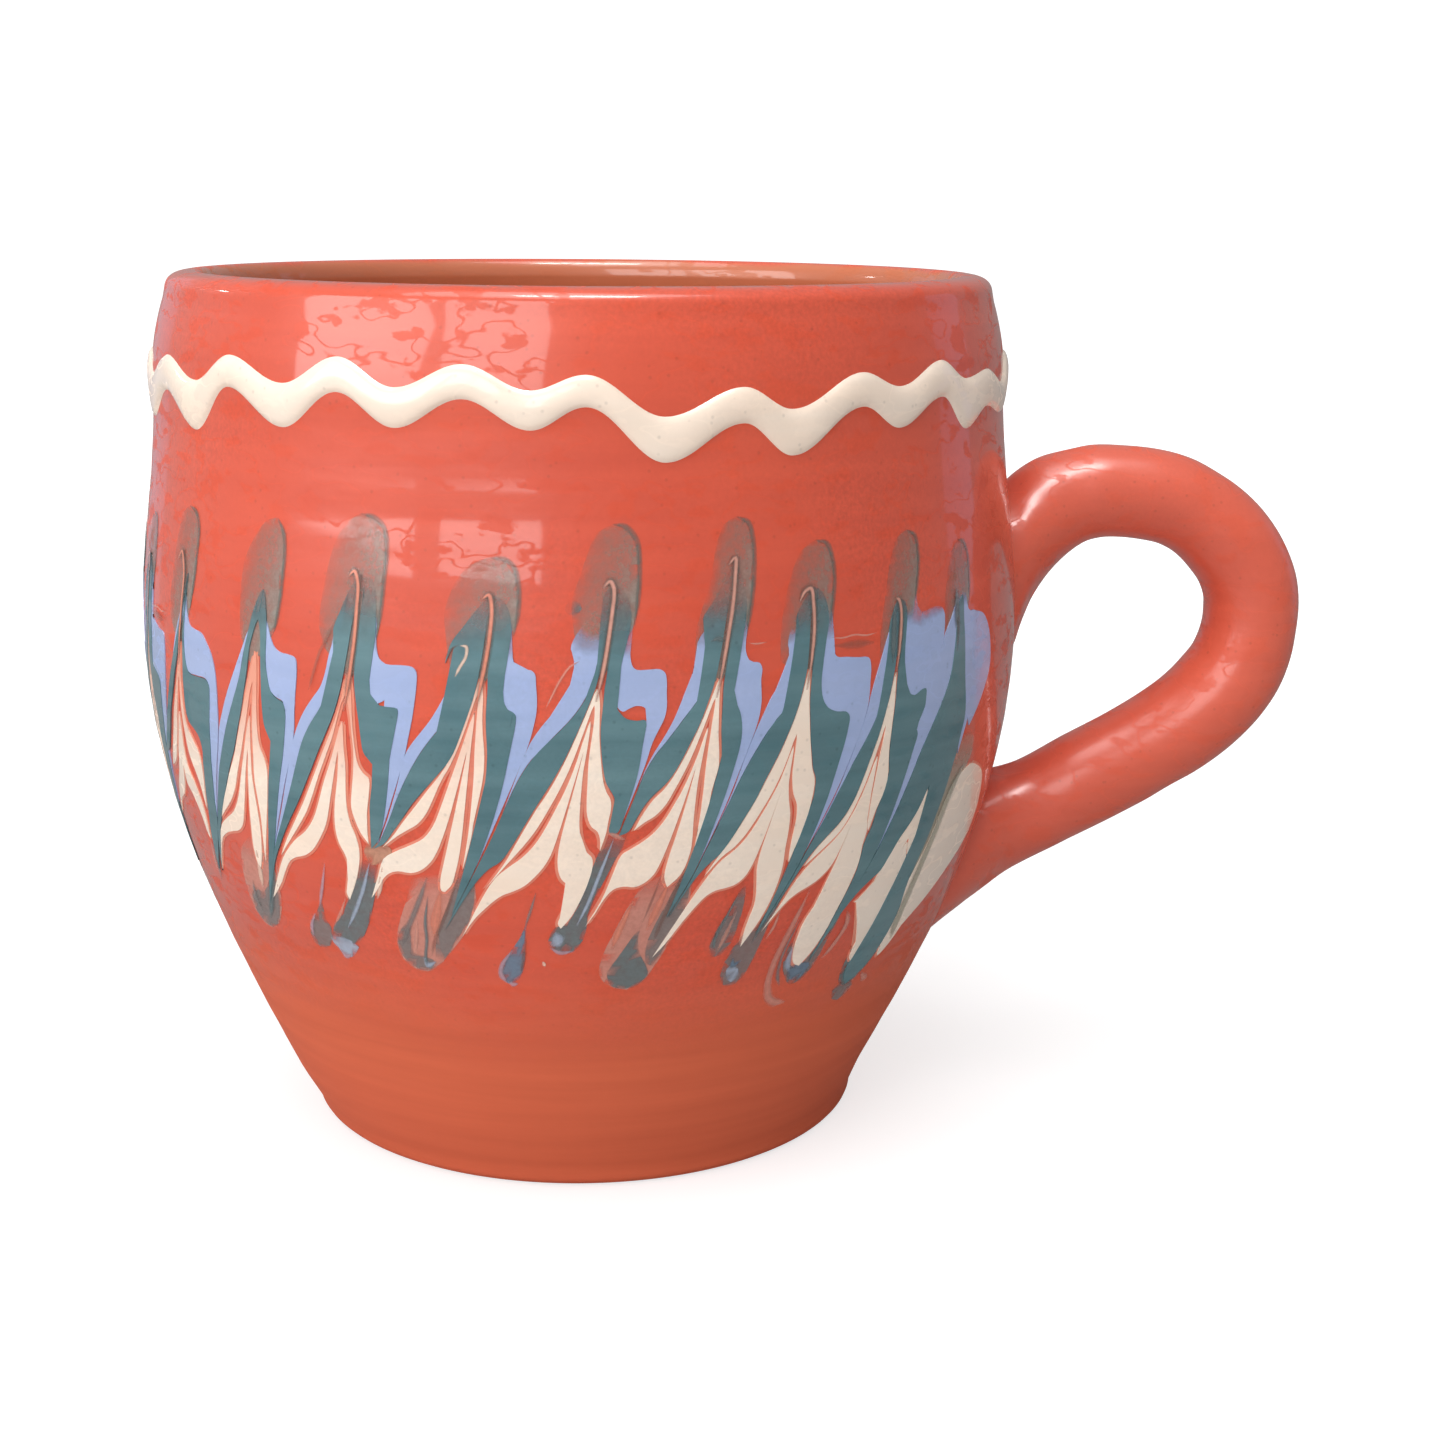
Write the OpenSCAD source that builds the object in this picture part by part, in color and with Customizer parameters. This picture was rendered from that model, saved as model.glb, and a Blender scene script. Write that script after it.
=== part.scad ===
// Wheel-thrown terracotta mug with one round coil handle, a trailed slip wave under the rim
// and a band of three coloured slips combed up and down.
// Millimetres, +Z up. The origin is the centre of the flat base, and the handle is on +X.

/* [Body] */
// Height of the mug, from the table to the crest of the rim
body_h = 93; // [86:0.5:110]
// Largest outside diameter, at the belly
belly_d = 95.4; // [88:0.2:112]
// Height of the belly above the table
belly_z = 55.5; // [50:0.5:60]
// Outside diameter at the neck, where the wall turns in to the lip
neck_d = 91.2; // [82:0.2:94]
// Height from the neck to the crest of the rim
lip_h = 11; // [8:0.5:16]
// How far the lip leans in from the neck
lip_in = 1.5; // [0:0.1:3]
// Outside diameter of the foot
foot_d = 61.8; // [54:0.2:70]
// Height of the upright side of the foot
foot_h = 1.8; // [1.4:0.1:4]
// Radius of the foot's lower edge
foot_edge = 1.2; // [0.4:0.1:1.3]

/* [Wall] */
// Thickness of the wall, measured level
wall_t = 4.4; // [3:0.1:6]
// Thickness of the base at its middle
base_t = 6; // [4:0.1:9]
// Radius of the turn from the floor to the wall inside
floor_round = 16; // [8:0.5:20]
// Height over which the rim is rounded
rim_round = 2.2; // [1.4:0.1:3]

/* [Handle] */
// How far the handle stands out from the belly
handle_out = 33.4; // [30:0.2:42]
// Radius of the loop, on the middle of the coil
loop_r = 15.3; // [13.6:0.1:17]
// Depth of the loop's centre below the crest of the rim
loop_drop = 38.8; // [36:0.2:41]
// Diameter of the coil at its upper root
coil_hi_d = 10.3; // [8:0.1:12]
// Diameter of the coil at its lower root
coil_lo_d = 11; // [8:0.1:12.5]
// Angle on the loop where the upper run leaves it for the wall
hi_turn = 120; // [112:1:128]
// Angle below level on the loop where the lower run leaves it for the wall
lo_turn = 64; // [60:1:70]
// Distance from the wall at which the coil starts to spread
spread_len = 5; // [3:0.5:7]
// How far the upper root is smeared down the wall
hi_smear = 7.5; // [3:0.5:9]
// How far the lower root is smeared down the wall
lo_smear = 3.6; // [1:0.2:6]
// How far each root is smeared to either side
side_smear = 5; // [1:0.5:6]

/* [Trailed wave] */
// Depth of the wave's middle line below the crest of the rim
wave_drop = 10.4; // [9:0.2:12]
// Number of waves round the mug
wave_count = 22; // [16:1:28]
// Height of a wave above and below its middle line
wave_amp = 1.6; // [1:0.1:2.2]
// Width of the trail where the wave turns down
trail_hi_w = 3.3; // [2:0.1:4]
// Width of the trail where the wave turns up, and the slip gathers
trail_lo_w = 4.3; // [2.4:0.1:5]
// How far the trail stands proud of the wall
trail_t = 0.6; // [0.3:0.05:1]

/* [Combed slip] */
// Depth of the band's upper edge below the crest of the rim
band_drop = 34.2; // [31:0.2:37]
// Width of the blue slip
blue_w = 3.8; // [2.5:0.1:4.5]
// Width of the teal slip
teal_w = 7.2; // [5:0.1:8]
// Width of the upper stripe of cream slip
cream_hi_w = 3.6; // [2.5:0.1:4.5]
// Width of the lower stripe of cream slip
cream_lo_w = 4.6; // [3:0.1:5.5]
// Bare clay between the blue and the teal
line_w = 0.8; // [0.5:0.1:1.2]
// Bare clay between the teal and the cream
bare_w = 1.9; // [1:0.1:2.5]
// Number of pairs of comb strokes
comb_count = 24; // [16:1:28]
// How far an upward stroke drags the slip
up_drag = 12; // [6:0.5:13]
// How far a downward stroke drags the slip
down_drag = 9; // [4:0.5:10]
// Distance at which a stroke's drag has died away to a third
drag_fade = 2.1; // [1.4:0.1:3]
// Sideways lean of the strokes for each unit that they rise
lean_share = 0.18; // [0:0.02:0.3]
// Thickness of a slip
slip_t = 0.3; // [0.2:0.05:0.6]
// Clearance on each side between the handle's roots and the combed slips
slip_clear = 0.4; // [0.4:0.1:6]

/* [Hidden] */
$fn = 128;
quarter_turn = 90;

// Colours of the fired clay and the slips
clay = [0.84, 0.36, 0.27];
cream = [0.98, 0.9, 0.81];
teal = [0.28, 0.45, 0.46];
blue = [0.6, 0.68, 0.88];

// Radii and heights that follow from the sizes above
belly_r = belly_d / 2;
neck_r = neck_d / 2;
foot_r = foot_d / 2;
neck_z = body_h - lip_h;
rim_z = body_h - rim_round;
lip_r = neck_r - lip_in;
// The crest lies nearer to the inside of the wall than to the outside
crest_share = 0.7;
crest_r = lip_r - crest_share * wall_t;

// Outside radius of the body at height z: a flank that swells from the foot like a quarter
// wave, a shoulder that eases back to the neck, and a lip that leans in
function flank_r(z) =
    foot_r + (belly_r - foot_r) * sin(quarter_turn * (z - foot_h) / (belly_z - foot_h));
function shoulder_r(z) =
    neck_r + (belly_r - neck_r) * (1 + cos(2 * quarter_turn * (z - belly_z) / (neck_z - belly_z))) / 2;
function lip_line_r(z) = neck_r - lip_in * pow((z - neck_z) / (rim_z - neck_z), 2);
function outer_r(z) =
    z < foot_h ? foot_r :
    z < belly_z ? flank_r(z) :
    z < neck_z ? shoulder_r(z) :
    lip_line_r(z);

// Parts of the outline of the wall, each a list of [radius, height]
edge_steps = 5;
wall_steps = 48;
rim_steps = 7;
turn_steps = 9;
function foot_edge_line() = [
    for (i = [0:edge_steps])
        let (a = quarter_turn * i / edge_steps)
        [foot_r - foot_edge * (1 - sin(a)), foot_edge * (1 - cos(a))]
];
function outer_line() = [
    for (i = [0:wall_steps])
        let (z = foot_h + (rim_z - foot_h) * i / wall_steps)
        [outer_r(z), z]
];
function rim_out_line() = [
    for (i = [1:rim_steps])
        let (a = quarter_turn * i / rim_steps)
        [crest_r + (lip_r - crest_r) * cos(a), rim_z + rim_round * sin(a)]
];
function rim_in_line() = [
    for (i = [1:rim_steps])
        let (a = quarter_turn * i / rim_steps)
        [crest_r - (wall_t - (lip_r - crest_r)) * sin(a), rim_z + rim_round * cos(a)]
];
// The inside turns from the level floor until it meets the slope of the flank
floor_turn = 64;
turn_z = base_t + floor_round * (1 - cos(floor_turn));
flat_r = outer_r(turn_z) - wall_t - floor_round * sin(floor_turn);
function inner_line() = [
    for (i = [1:wall_steps])
        let (z = rim_z + (turn_z - rim_z) * i / wall_steps)
        [outer_r(z) - wall_t, z]
];
function floor_line() = [
    for (i = [1:turn_steps])
        let (a = floor_turn * (1 - i / turn_steps))
        [flat_r + floor_round * sin(a), base_t + floor_round * (1 - cos(a))]
];

module body() {
    color(clay)
        rotate_extrude()
            polygon(concat(
                [[0, 0]],
                foot_edge_line(),
                outer_line(),
                rim_out_line(),
                rim_in_line(),
                inner_line(),
                floor_line(),
                [[0, base_t]]
            ));
}

// The outside of the body without its hollow, which cuts the roots of the handle to the wall
module body_form() {
    rotate_extrude()
        polygon(concat(
            [[0, 0]],
            foot_edge_line(),
            outer_line(),
            rim_out_line(),
            [[0, body_h]]
        ));
}

// Surface through a row of rings, closed at both ends or joined into a loop. Each four-sided
// patch is split along its shorter diagonal, so that long patches follow the round wall.
module skin(rings, loop = false) {
    n = len(rings);
    m = len(rings[0]);
    last = loop ? n - 1 : n - 2;
    sides = [
        for (i = [0:last], j = [0:m - 1])
            let (
                a = i * m + j,
                b = i * m + (j + 1) % m,
                c = ((i + 1) % n) * m + (j + 1) % m,
                d = ((i + 1) % n) * m + j,
                next = rings[(i + 1) % n],
                across_ac = norm(rings[i][j] - next[(j + 1) % m]),
                across_bd = norm(rings[i][(j + 1) % m] - next[j])
            )
            each across_ac <= across_bd ? [[a, b, c], [a, c, d]] : [[a, b, d], [b, c, d]]
    ];
    start_cap = [for (j = [1:m - 2]) [0, j + 1, j]];
    end_cap = [for (j = [1:m - 2]) [(n - 1) * m, (n - 1) * m + j, (n - 1) * m + j + 1]];
    polyhedron(
        points = [for (ring = rings) each ring],
        faces = loop ? sides : concat(sides, start_cap, end_cap)
    );
}

// The coil: a straight run out of the wall, round the loop, and a straight run back to the wall
loop_x = belly_r + handle_out - (coil_hi_d + coil_lo_d) / 4 - loop_r;
loop_z = body_h - loop_drop;
run_steps = 9;
loop_steps = 24;
coil_sides = 20;
// Depth inside the wall to which the runs go before the wall cuts them
root_depth = 9;
hi_start = [loop_x + loop_r * cos(hi_turn), loop_z + loop_r * sin(hi_turn)];
lo_start = [loop_x + loop_r * cos(-lo_turn), loop_z + loop_r * sin(-lo_turn)];
hi_run = (hi_start[0] - outer_r(hi_start[1]) + root_depth) / sin(hi_turn);
lo_run = (lo_start[0] - outer_r(lo_start[1] - lo_start[0] / 4) + root_depth) / sin(lo_turn);

// Places on the middle of the coil, each as [x, z, direction of travel]
function coil_path() = concat(
    [
        for (i = [0:run_steps - 1])
            let (back = hi_run * (1 - i / run_steps))
            [hi_start[0] - back * sin(hi_turn), hi_start[1] + back * cos(hi_turn), hi_turn - quarter_turn]
    ],
    [
        for (i = [0:loop_steps])
            let (a = hi_turn - (hi_turn + lo_turn) * i / loop_steps)
            [loop_x + loop_r * cos(a), loop_z + loop_r * sin(a), a - quarter_turn]
    ],
    [
        for (i = [1:run_steps])
            let (on = lo_run * i / run_steps)
            [lo_start[0] - on * sin(lo_turn), lo_start[1] - on * cos(lo_turn), -lo_turn - quarter_turn]
    ]
);

// How much of its smear a root has where the coil's middle is this far outside the wall
function spread(gap) = pow(max(0, min(1, (spread_len - gap) / (2 * spread_len))), 2);

// One ring of the coil, spread where it nears the wall. The loop's inside is the smeared side
// at the upper root, and its outside is at the lower root.
function coil_ring(place, travel_share) =
    let (
        amount = spread(place[0] - outer_r(place[1])),
        r = (coil_hi_d + (coil_lo_d - coil_hi_d) * travel_share) / 2,
        out_r = r + (travel_share > 1 / 2 ? lo_smear * amount : 0),
        in_r = r + (travel_share < 1 / 2 ? hi_smear * amount : 0),
        side_r = r + side_smear * amount,
        across = place[2] + quarter_turn
    )
    [
        for (k = [0:coil_sides - 1])
            let (
                a = 360 * k / coil_sides,
                reach = sin(a) * (sin(a) > 0 ? out_r : in_r)
            )
            [place[0] + reach * cos(across), side_r * cos(a), place[1] + reach * sin(across)]
    ];

module handle() {
    path = coil_path();
    color(clay)
        difference() {
            skin([for (i = [0:len(path) - 1]) coil_ring(path[i], i / (len(path) - 1))]);
            body_form();
        }
}

// A point over the wall at angle a and height z
function on_wall(a, z, lift) = [(outer_r(z) + lift) * cos(a), (outer_r(z) + lift) * sin(a), z];

// The trail of cream slip: a low rounded strip that waves up and down and closes on itself
wave_z = body_h - wave_drop;
wave_steps = 10;
// Clearance that keeps a slip's flat facets off the round wall
slip_seat = 0.2;
// Half sections of a trail, as shares of its half width and of its thickness
trail_shares = [[-1, 0], [1, 0], [0.75, 0.75], [0, 1], [-0.75, 0.75]];
function trail_ring(i) =
    let (
        a = 360 * i / (wave_count * wave_steps),
        swing = cos(wave_count * a),
        z = wave_z + wave_amp * swing,
        half_w = (trail_lo_w + (trail_hi_w - trail_lo_w) * (1 + swing) / 2) / 2
    )
    [for (s = trail_shares) on_wall(a, z + s[0] * half_w, slip_seat + s[1] * trail_t)];

module wave_trail() {
    color(cream)
        skin([for (i = [0:wave_count * wave_steps - 1]) trail_ring(i)], loop = true);
}

// Comb strokes. Places across one pair of strokes, as shares of their pitch: an upward stroke
// at 0 and a downward stroke at one half.
comb_shares = [0, 0.05, 0.12, 0.22, 0.36, 0.5, 0.64, 0.78, 0.88, 0.95];
// Strength of successive strokes, as shares of the full drag
up_shares = [1, 0.85, 0.95, 0.7, 0.9, 1, 0.8];
down_shares = [0.9, 1, 0.8, 0.95, 0.85];
// Heights of the stripes, from the rim down
band_z = body_h - band_drop;
teal_z = band_z - blue_w - line_w;
cream_hi_z = teal_z - teal_w - bare_w;
cream_lo_z = cream_hi_z - cream_hi_w - line_w;
// The slips start where the handle's lower root, at its widest, has passed their lowest tips
low_tip_r = outer_r(cream_lo_z - cream_lo_w - down_drag);
root_half_w = coil_lo_d / 2 + side_smear;
start_a = asin((root_half_w + slip_clear) / low_tip_r);
comb_pitch_a = (360 - 2 * start_a) / comb_count;
comb_pitch = comb_pitch_a * PI / 180 * belly_r;
function up_pull(k) = up_drag * up_shares[k % len(up_shares)];
function down_pull(k) = down_drag * down_shares[k % len(down_shares)];

// Rise of the slip at share u of stroke pair k
function drag(k, u) =
    up_pull(k) * exp(-u * comb_pitch / drag_fade)
    + up_pull(k + 1) * exp((u - 1) * comb_pitch / drag_fade)
    - down_pull(k) * exp(-abs(u - 1 / 2) * comb_pitch / drag_fade);

// A point on a combed slip, turned a little as it rises because the strokes lean
function combed(a, z, lift) = on_wall(a + (z - band_z) * lean_share / belly_r * 180 / PI, z, lift);

// A stripe is made of rows no wider than this, so that each row's flat facets follow the wall
row_w = 4;
function slip_ring(k, u, low_z, high_z) =
    let (
        a = start_a + comb_pitch_a * (k + u),
        rise = drag(k, u),
        rows = ceil((high_z - low_z) / row_w)
    )
    concat(
        [for (r = [0:rows]) combed(a, low_z + rise + (high_z - low_z) * r / rows, slip_seat)],
        [for (r = [rows:-1:0]) combed(a, low_z + rise + (high_z - low_z) * r / rows, slip_seat + slip_t)]
    );

// One stripe of slip between two heights, combed from one side of the handle to the other
module slip_stripe(low_z, high_z) {
    skin(concat(
        [for (k = [0:comb_count - 1], u = comb_shares) slip_ring(k, u, low_z, high_z)],
        [slip_ring(comb_count, 0, low_z, high_z)]
    ));
}

module slip_blue() {
    color(blue)
        slip_stripe(band_z - blue_w, band_z);
}

module slip_teal() {
    color(teal)
        slip_stripe(teal_z - teal_w, teal_z);
}

module slip_cream() {
    color(cream) {
        slip_stripe(cream_hi_z - cream_hi_w, cream_hi_z);
        slip_stripe(cream_lo_z - cream_lo_w, cream_lo_z);
    }
}

body();
handle();
wave_trail();
slip_blue();
slip_teal();
slip_cream();
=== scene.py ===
# %% [markdown]
# A slip-decorated clay mug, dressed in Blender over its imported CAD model.
# The real mug is thrown on a wheel from orange-red earthenware. Coloured slips, which are clay let down
# with water, are poured round it as level stripes and combed while wet, and a clear glaze goes over all.
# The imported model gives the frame, so every piece here is made in metres exactly where the CAD has it.

# %% Load the fixed frame
import math
import random
import bpy
import bmesh
from mathutils import Matrix, Vector, noise


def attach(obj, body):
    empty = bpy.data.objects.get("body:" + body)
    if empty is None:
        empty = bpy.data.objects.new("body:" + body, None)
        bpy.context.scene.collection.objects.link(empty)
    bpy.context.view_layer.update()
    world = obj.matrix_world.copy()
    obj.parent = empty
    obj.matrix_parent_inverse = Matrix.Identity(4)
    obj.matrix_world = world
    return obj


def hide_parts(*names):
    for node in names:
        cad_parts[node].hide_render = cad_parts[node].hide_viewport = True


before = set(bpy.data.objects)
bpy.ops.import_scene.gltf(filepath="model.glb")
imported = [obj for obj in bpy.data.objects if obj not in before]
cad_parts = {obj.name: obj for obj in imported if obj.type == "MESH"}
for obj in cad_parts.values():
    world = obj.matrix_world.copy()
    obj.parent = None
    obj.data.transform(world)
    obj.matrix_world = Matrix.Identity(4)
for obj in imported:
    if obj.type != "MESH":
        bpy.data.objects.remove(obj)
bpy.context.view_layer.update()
mm = 0.001
print("nodes in the frame:", sorted(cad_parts))

# %% [markdown]
# The camera comes first, because all looks are judged through it. It was fitted to the photograph's
# outline: 246 mm from the axis, 13 degrees down, a little turned and rolled. A camera looks along its own
# -Z, so its matrix has the picture's right, the picture's up and the backward direction as columns.
# The plain Standard view keeps the clay's strong red as it is, where a filmic view would fade it.

# %% Camera at the photograph's angle
pitch, yaw, roll = math.radians(13.421), math.radians(3.620), math.radians(0.509)
photo_width, focal_length, sensor = 1445, 2224.2, 36
camera_back, camera_up = 0.24589, 0.1014
forward = Vector((math.sin(yaw) * math.cos(pitch), math.cos(yaw) * math.cos(pitch), -math.sin(pitch)))
level_right = forward.cross(Vector((0, 0, 1))).normalized()
level_up = level_right.cross(forward)
picture_right = math.cos(roll) * level_right + math.sin(roll) * level_up
picture_up = -math.sin(roll) * level_right + math.cos(roll) * level_up
camera_data = bpy.data.cameras.new("photo_camera")
camera_data.sensor_width = sensor
camera_data.lens = sensor * focal_length / photo_width
camera_data.clip_start = 0.01
camera = bpy.data.objects.new("photo_camera", camera_data)
bpy.context.collection.objects.link(camera)
turn = Matrix((picture_right, picture_up, -forward)).transposed()
camera.matrix_world = Matrix.Translation((0, -camera_back, camera_up)) @ turn.to_4x4()
bpy.context.scene.camera = camera
bpy.context.scene.view_settings.view_transform = "Standard"
print("lens", round(camera_data.lens, 2), "mm")

# %% [markdown]
# The mug's wall is one smooth curve from foot to rim. Potters pull such a wall in a few strokes, so a
# formula with a foot, a flank, a belly and a neck describes it better than many measured points. The
# same numbers stand in the CAD source, and every slip below asks this curve where the wall is.

# %% Profile of the wall, in millimetres
body_h, belly_r, belly_z, neck_r = 93.0, 47.7, 55.5, 45.6
lip_h, lip_in, foot_r, foot_h = 11.0, 1.5, 30.9, 1.8
wall_t, base_t, floor_round, rim_round = 4.4, 6.0, 16.0, 2.2
neck_z = body_h - lip_h
rim_z = body_h - rim_round
lip_r = neck_r - lip_in
crest_r = lip_r - 0.7 * wall_t


def outer_r(z):
    """Radius of the outside at a height, before the potter's small unevenness."""
    if z < foot_h:
        return foot_r
    if z < belly_z:
        return foot_r + (belly_r - foot_r) * math.sin(math.pi / 2 * (z - foot_h) / (belly_z - foot_h))
    if z < neck_z:
        return neck_r + (belly_r - neck_r) * (1 + math.cos(math.pi * (z - belly_z) / (neck_z - belly_z))) / 2
    return neck_r - lip_in * ((z - neck_z) / (rim_z - neck_z)) ** 2


def throwing_marks(z, angle):
    """Faint rings that the fingers leave, and the slight wander of a hand-thrown wall."""
    rings = 0.010 * math.sin(z * 1.55 + 0.6 * math.sin(angle)) + 0.012 * math.sin(z * 0.83 + 2.0)
    wander = 0.09 * math.sin(2 * angle + 0.7) + 0.05 * math.sin(3 * angle + z * 0.05)
    fade = min(1, max(0, (z - 3) / 8)) * min(1, max(0, (92 - z) / 6))
    return (rings + wander) * fade


def sideways(z):
    """How far the hand-thrown flank bulges off the axis above the foot."""
    return -0.75 * min(1, z / 6) * max(0, 1 - z / 40) ** 2


def on_wall(angle, z, lift=0.0):
    """A point on the outside, lifted off it by a film's thickness; metres."""
    r = outer_r(z) + throwing_marks(z, angle) + lift
    return Vector(((r * math.cos(angle) + sideways(z)) * mm, r * math.sin(angle) * mm, z * mm))


print("belly", 2 * belly_r, "mm across, rim", 2 * lip_r, "mm across")

# %% [markdown]
# Node materials need many small nodes with links. Two short helpers place a node, set its plain values
# and link whatever is a socket or another node. They keep the recipes below down to the lines that matter.

# %% Helpers for node recipes and for finished pieces
settings = {"operation", "data_type", "interpolation_type", "attribute_name", "use_clamp"}


def feed(tree, node, **values):
    """Give a node its settings, and its inputs numbers, or links from sockets or from nodes' first outputs."""
    for name, value in values.items():
        if name in settings:
            setattr(node, name, value)
            continue
        key = int(name[1:]) if name[0] == "i" and name[1:].isdigit() else name.replace("_", " ")
        if isinstance(value, bpy.types.Node):
            value = value.outputs[0]
        if isinstance(value, bpy.types.NodeSocket):
            tree.links.new(value, node.inputs[key])
        else:
            node.inputs[key].default_value = value


def add(tree, kind, where=(0, 0), **values):
    """Place a node and feed it."""
    made = tree.nodes.new(kind)
    made.location = (where[0] * 190, where[1] * 160)
    feed(tree, made, **values)
    return made


def mix_colours(tree, where, share, first, second):
    """The socket of two colours mixed, each given as a socket or as three numbers."""
    ends = [(*end, 1) if isinstance(end, tuple) else end for end in (first, second)]
    return add(tree, "ShaderNodeMix", where, data_type="RGBA", Factor=share, i6=ends[0], i7=ends[1]).outputs[2]


def finish_piece(name, bm, materials):
    """Turn a bmesh into a smooth-shaded object at the origin."""
    mesh = bpy.data.meshes.new(name)
    uneven = sum(len(edge.link_faces) == 2 and not edge.is_contiguous for edge in bm.edges)
    bm.to_mesh(mesh)
    bm.free()
    mesh.polygons.foreach_set("use_smooth", [True] * len(mesh.polygons))
    for material in materials:
        mesh.materials.append(material)
    piece = bpy.data.objects.new(name, mesh)
    bpy.context.collection.objects.link(piece)
    print(name, len(mesh.polygons), "faces,", uneven, "edges where neighbours face opposite ways")
    return piece


def new_material(name):
    """A material with a plain Principled shader, and its tree."""
    material = bpy.data.materials.new(name)
    material.use_nodes = True
    return material, material.node_tree, material.node_tree.nodes["Principled BSDF"]


# %% [markdown]
# A clear glaze is never perfectly level. It has a fine orange-peel, slow dips, and pinholes where gas
# came out of the clay. Here and there it has crawled or crazed, and there a window's reflection breaks
# off. Each finish here has that same skin, so it is a node group, built once. It puts out a height for
# Bump nodes, masks of specks and grain, cloudy level streaks, and how much of the gloss is left.

# %% Node group: the glaze's skin
glaze_skin = bpy.data.node_groups.new("glaze_skin", "ShaderNodeTree")
for label in ("Height", "Specks", "Cloud", "Grain", "Gloss"):
    glaze_skin.interface.new_socket(name=label, in_out="OUTPUT", socket_type="NodeSocketFloat")
skin_out = add(glaze_skin, "NodeGroupOutput", (8, 0))
spot = add(glaze_skin, "ShaderNodeTexCoord").outputs["Object"]
peel = add(glaze_skin, "ShaderNodeTexNoise", (1, 1), Vector=spot, Scale=900, Detail=2)
round_lines = add(glaze_skin, "ShaderNodeMapping", (0, 1), Vector=spot, Scale=(70, 70, 190))
dips = add(glaze_skin, "ShaderNodeTexNoise", (1, 0), Vector=round_lines, Scale=1, Detail=3)
fine = add(glaze_skin, "ShaderNodeTexNoise", (1, -3), Vector=spot, Scale=2600, Detail=2)
cloud = add(glaze_skin, "ShaderNodeTexNoise", (1, -1), Vector=spot, Scale=60, Detail=5)
speck = add(glaze_skin, "ShaderNodeTexVoronoi", (1, -2), Vector=spot, Scale=700)
lighter = add(glaze_skin, "ShaderNodeMath", (2, 1), operation="MULTIPLY", i0=peel, i1=0.28)
both = add(glaze_skin, "ShaderNodeMath", (3, 0), operation="MULTIPLY_ADD", i0=dips, i1=2.4, i2=lighter)
dots = add(glaze_skin, "ShaderNodeMapRange", (2, -2), Value=speck.outputs["Distance"], From_Min=0.16, From_Max=0.05)
print("glaze skin group:", len(glaze_skin.nodes), "nodes so far")

# %% [markdown]
# Three more masks join the group. Level streaks come from noise that is squeezed flat, because the mug
# turned under the brush. Grain comes in patches. The gloss breaks along hairlines, where one noise crosses
# its middle value, and over bald patches, where a second one is high.

# %% Node group: streaks, patchy grain and broken gloss
level_lines = add(glaze_skin, "ShaderNodeMapping", (0, -5), Vector=spot, Scale=(28, 28, 560))
level = add(glaze_skin, "ShaderNodeTexNoise", (1, -5), Vector=level_lines, Scale=1, Detail=3)
clouded = add(glaze_skin, "ShaderNodeMix", (2, -5), i0=0.45, i2=cloud, i3=level)
patches = add(glaze_skin, "ShaderNodeTexNoise", (1, -4), Vector=spot, Scale=34, Detail=3)
patchy = add(glaze_skin, "ShaderNodeMapRange", (2, -4), Value=patches, From_Min=0.46, From_Max=0.6, To_Min=0.12)
grained = add(glaze_skin, "ShaderNodeMix", (3, -4), i0=patchy, i2=0.5, i3=fine)
crawl_lines = add(glaze_skin, "ShaderNodeMapping", (0, -7), Vector=spot, Scale=(150, 150, 300))
crawl = add(glaze_skin, "ShaderNodeTexNoise", (1, -7), Vector=crawl_lines, Scale=1, Detail=2)
off_middle = add(glaze_skin, "ShaderNodeMath", (2, -7), operation="SUBTRACT", i0=crawl, i1=0.5)
either_side = add(glaze_skin, "ShaderNodeMath", (3, -7), operation="ABSOLUTE", i0=off_middle)
hairline = add(glaze_skin, "ShaderNodeMapRange", (4, -7), Value=either_side, From_Min=0.006, From_Max=0.016)
bald = add(glaze_skin, "ShaderNodeTexNoise", (1, -8), Vector=crawl_lines, Scale=1.7, Detail=4)
bald_patch = add(glaze_skin, "ShaderNodeMapRange", (2, -8), Value=bald, From_Min=0.565, From_Max=0.60,
                 To_Min=1, To_Max=0)
gloss_left = add(glaze_skin, "ShaderNodeMath", (5, -7), operation="MULTIPLY", i0=hairline, i1=bald_patch)
for label, node in (("Height", both), ("Specks", dots), ("Cloud", clouded), ("Grain", grained),
                    ("Gloss", gloss_left)):
    glaze_skin.links.new(node.outputs[0], skin_out.inputs[label])
print("glaze skin group:", len(glaze_skin.nodes), "nodes")

# %% [markdown]
# Every slip and the clay itself lie under that glaze. One function builds such a finish from two colours:
# clouds of the second in the first, dark specks, a grain in its brightness, and a gloss coat on top.

# %% A glazed finish
full_coat = 0.75


def use_skin(tree):
    """Place the glaze's skin in a material and give its outputs."""
    made = tree.nodes.new("ShaderNodeGroup")
    made.node_tree = glaze_skin
    made.location = (-1100, 0)
    return made.outputs


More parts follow.
